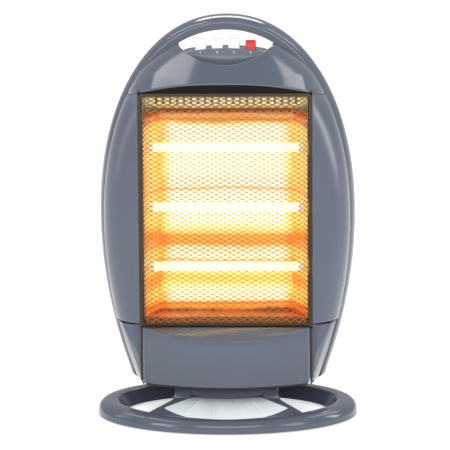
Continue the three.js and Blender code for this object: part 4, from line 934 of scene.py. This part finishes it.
apron = apron_cut(block(apron_plan(0, apron_rear), "z", apron_low, guard_low + 5 * mm), 0)
apron = eased(apron, 1.1 * mm, 22, 3)
apron_hollow = apron_cut(block(apron_plan(2.5 * mm, apron_rear + 5 * mm), "z", apron_low - 5 * mm,
                               guard_low + 5 * mm), 2.5 * mm)
piece("apron", cut(apron, apron_hollow), "heater_body", slate_gloss, ["front_apron"], crease=28)


# ---------- lower cheeks
# A thin moulding on each side of the apron, under the column: two facets that meet in a soft
# ridge.

for side in ("left", "right"):
    refine(f"lower_cheek_{side}", "heater_body", slate_gloss, 0.8 * mm, 12, 3)


# ---------- seam strips
# A black plastic strip stands back in the seam on each side of the apron, fixed to the cheek,
# so that no light shows through.

strip_inner, strip_outer, strip_front, strip_rear = 100.9 * mm, 103.6 * mm, -30 * mm, -9 * mm
seam_strips = together(*[block([(way * strip_inner, strip_front), (way * strip_outer, strip_front),
                                (way * strip_outer, strip_rear), (way * strip_inner, strip_rear)],
                               "z", apron_low + mm, guard_low - 2 * mm) for way in (-1, 1)])
piece("seam_strips", seam_strips, "heater_body", plain_black)


# ---------- controls
# Behind the scoop lies the control deck: a flat tray with a crowned block on it, slanting at
# its front. Four push buttons stand in its wells, three white ones for the lamps and a red
# one for the swing.

tray_top, tray_thick = 428 * mm, 2.5 * mm
cap_half, cap_front, cap_back, cap_height, cap_fall, cap_crown = \
    52 * mm, -14 * mm, 24 * mm, 447.6 * mm, 0.02, 5 * mm
slant_from, slant_height, slant_fall = -3 * mm, 447 * mm, 0.66
cap_corner, above_cap = 10 * mm, 480 * mm
button_pitch, button_place, button_half_deep, button_gap = 20 * mm, 4 * mm, 5.5 * mm, 0.6 * mm
white_wide, red_wide = 13.6 * mm, 12.4 * mm


def slant_top(y):
    """The height of the cap's slanting front, which carries the numbers."""
    return slant_height - slant_fall * (slant_from - y)


def cap_plan(inset):
    half, corner = cap_half - inset, cap_corner - inset
    points = []
    for x_way, y_way in ((1, -1), (1, 1), (-1, 1), (-1, -1)):
        edge_y = cap_front + inset if y_way < 0 else cap_back - inset
        for i in range(9):
            turn = math.radians(90 * i / 8)
            across, along = math.sin(turn), math.cos(turn)
            if x_way * y_way > 0:
                across, along = along, across
            points.append((x_way * (half - corner + corner * across),
                           edge_y - y_way * corner * (1 - along) + body_back))
    return points


def over_cap(drop):
    """All that lies above the crowned top."""
    shares = [1.5 * i / 20 for i in range(-20, 21)]
    crown = [(share * cap_half, cap_height - cap_crown * share ** 2 - drop) for share in shares]
    form = block(crown + [(80 * mm, above_cap), (-80 * mm, above_cap)], "y", -20 * mm, 50 * mm)
    for point in form.verts:
        point.co.z += cap_fall * (point.co.y - body_back - cap_back + 4 * mm)
    return facing_out(form)


def before_slant(drop):
    """All that lies above and before the slanting front."""
    front, rear = -20 * mm, 12 * mm
    return block([(front + body_back, slant_top(front) - drop), (rear + body_back, slant_top(rear) - drop),
                  (rear + body_back, above_cap), (front + body_back, above_cap)], "x", -70 * mm, 70 * mm)


def cap_block(inset, low):
    return cut(block(cap_plan(inset), "z", low, 460 * mm), over_cap(inset), before_slant(inset))


cap = eased(cap_block(0, tray_top - 0.5 * mm), 1.5 * mm, 40, 3)
cap = cut(cap, cap_block(shell_wall, tray_top - 5 * mm))
tray_outline = []
for i in range(41):
    spot_on_tray = shell_point((i / 40 - 0.5) * math.pi, tray_top, shell_wall + 1.6 * mm)
    tray_outline.append((spot_on_tray.x, min(spot_on_tray.y, hoop_front - hairline - mm + body_back)))
tray_rear = hoop_front - hairline + body_back
tray_outline += [(tray_outline[-1][0], tray_rear), (tray_outline[0][0], tray_rear)]
deck_tray = block(tray_outline, "z", tray_top - tray_thick, tray_top)
behind = block(shoulder_line(finger_half, hairline) + [(finger_half, 380 * mm), (-finger_half, 380 * mm)],
               "y", tray_rear, cap_back + 5 * mm + body_back)
wells = []
for i in range(4):
    half = (red_wide if i == 3 else white_wide) / 2 + button_gap
    x, deep = (i - 1.5) * button_pitch, button_half_deep + button_gap
    front, rear = button_place - deep + body_back, button_place + deep + body_back
    wells.append(block([(x - half, front), (x + half, front), (x + half, rear), (x - half, rear)],
                       "z", 410 * mm, 470 * mm))
deck = worked(deck_tray, ("UNION", cap), ("DIFFERENCE", behind), ("DIFFERENCE", together(*wells)))
deck_slate = moulded("deck_slate", (0.13, 0.15, 0.19), 0.22, shift=0.03, grain=0.02)
piece("deck", deck, "heater_body", deck_slate, ["control_deck"], crease=28)
refine("switch_bank", "heater_body", plain_black, 0.3 * mm)

signal_red = moulded("signal_red", (0.62, 0.008, 0.016), 0.25, shift=0.03, grain=0.03)
for number in range(1, 5):
    button_finish = signal_red if number == 4 else milk_white
    refine(f"button_{number}", f"button_{number}", button_finish, 0.9 * mm, 30, 3)


# ---------- deck numbers
# Small plain numbers in white print on the deck's slanting front, one before each button.

digit_tall, digit_place, ink_thick = 5.2 * mm, -10.5 * mm, 0.02 * mm
print_white = moulded("print_white", (0.8, 0.82, 0.84), 0.5, grain=0.02)
digits = bmesh.new()
for number in range(4):
    text = bpy.data.curves.new("digit", "FONT")
    text.body, text.size, text.align_x, text.extrude = str(number + 1), digit_tall, "CENTER", ink_thick
    thing = placed("digit", text)
    flat_digit = bmesh.new()
    drawn = bpy.data.meshes.new_from_object(thing.evaluated_get(bpy.context.evaluated_depsgraph_get()))
    flat_digit.from_mesh(drawn)
    bpy.data.meshes.remove(drawn)
    bpy.data.objects.remove(thing)
    lay = (Matrix.Translation(((number - 1.5) * button_pitch, digit_place + body_back,
                               slant_top(digit_place) + 0.06 * mm))
           @ Matrix.Rotation(math.atan(slant_fall), 4, "X"))
    digits = together(digits, moved(flat_digit, lay))
piece("deck_numbers", digits, "heater_body", print_white, crease=60)


# ---------- studio
# A pale floor, a white surround and soft lamps for an even light. The camera stands a little
# above the heater.

floor_form = bmesh.new()
bmesh.ops.create_grid(floor_form, x_segments=1, y_segments=1, size=20)
floor = placed("floor", meshed("floor", floor_form))
pale = bpy.data.materials.new("pale_floor")
pale.use_nodes = True
tree = pale.node_tree
shader = tree.nodes["Principled BSDF"]
feed(tree, shader, {"Base Color": (0.8, 0.8, 0.8, 1), "Roughness": 0.9, "Specular IOR Level": 0.0})


def by_ray(tree, kinds, others, seen):
    """One strength for the given kinds of ray, and one for all others."""
    rays = added(tree, "LightPath", {})
    total = rays.outputs[kinds[0]]
    for kind in kinds[1:]:
        total = added(tree, "Math", {0: total, 1: rays.outputs[kind]}, operation="MAXIMUM").outputs["Value"]
    return added(tree, "MapRange", {"Value": total, "To Min": others, "To Max": seen}).outputs["Result"]


straight_rays = ("Is Camera Ray", "Is Glossy Ray", "Is Transmission Ray")
lift = added(tree, "Emission", {"Strength": by_ray(tree, straight_rays, 0.0, 0.55)})
total = added(tree, "AddShader", {0: shader.outputs[0], 1: lift.outputs[0]})
feed(tree, tree.nodes["Material Output"], {"Surface": total.outputs[0]})
floor.data.materials.append(pale)

world = bpy.data.worlds.new("studio")
bpy.context.scene.world = world
world.use_nodes = True
tree = world.node_tree
feed(tree, tree.nodes["Background"],
     {"Color": (1, 1, 1, 1), "Strength": by_ray(tree, ("Is Camera Ray",), 0.55, 1.0)})


def soft_box(name, place, target, wide, tall, power):
    """A soft lamp of the given width and height, turned to its target."""
    light = bpy.data.lights.new(name, "AREA")
    light.shape, light.size, light.size_y, light.energy = "RECTANGLE", wide, tall, power
    lamp = placed(name, light)
    lamp.location = place
    lamp.rotation_mode = "QUATERNION"
    lamp.rotation_quaternion = (Vector(target) - Vector(place)).to_track_quat("-Z", "Y")


soft_box("top_light", (0, -1.7, 2.1), (0, 0, 0.2), 1.6, 1.2, 20)
soft_box("left_light", (-1.7, -1.6, 1.3), (0, 0, 0.3), 0.7, 1.4, 14)
soft_box("right_light", (1.7, -1.5, 1.3), (0, 0, 0.3), 0.7, 1.4, 11)
soft_box("left_rear_light", (-1.15, 0.86, 2.48), (0, 0, 0.43), 0.55, 1.45, 9)
soft_box("right_rear_light", (1.44, 1.08, 2.17), (0, 0, 0.43), 0.55, 1.15, 7)
soft_box("low_front_light", (0, -2.0, 0.55), (0, 0, 0.03), 1.6, 0.5, 9)
soft_box("handle_light", (0, 2.2, 2.2), (0, 0, 0.47), 1.6, 0.4, 18)
soft_box("left_strip", (-1.1, 0.05, 0.56), (0, 0.05, 0.56), 0.22, 0.66, 0.8)
soft_box("right_strip", (1.1, 0.05, 0.56), (0, 0.05, 0.56), 0.22, 0.66, 3.0)

camera_data = bpy.data.cameras.new("camera")
camera_data.lens, camera_data.sensor_width = 264.4, 36
camera = placed("camera", camera_data)
yaw, rise, tilt, away = math.radians(2), math.radians(11), math.radians(-0.4), 4.0
aim = Vector((-0.0022, 0.012, 0.231))
toward = Vector((math.sin(yaw) * math.cos(rise), -math.cos(yaw) * math.cos(rise), math.sin(rise)))
camera.location = aim + toward * away
camera.rotation_mode = "QUATERNION"
camera.rotation_quaternion = ((-toward).to_track_quat("-Z", "Y")
                              @ Matrix.Rotation(tilt, 3, "Z").to_quaternion())
bpy.context.scene.camera = camera
bpy.context.scene.view_settings.view_transform = "Standard"
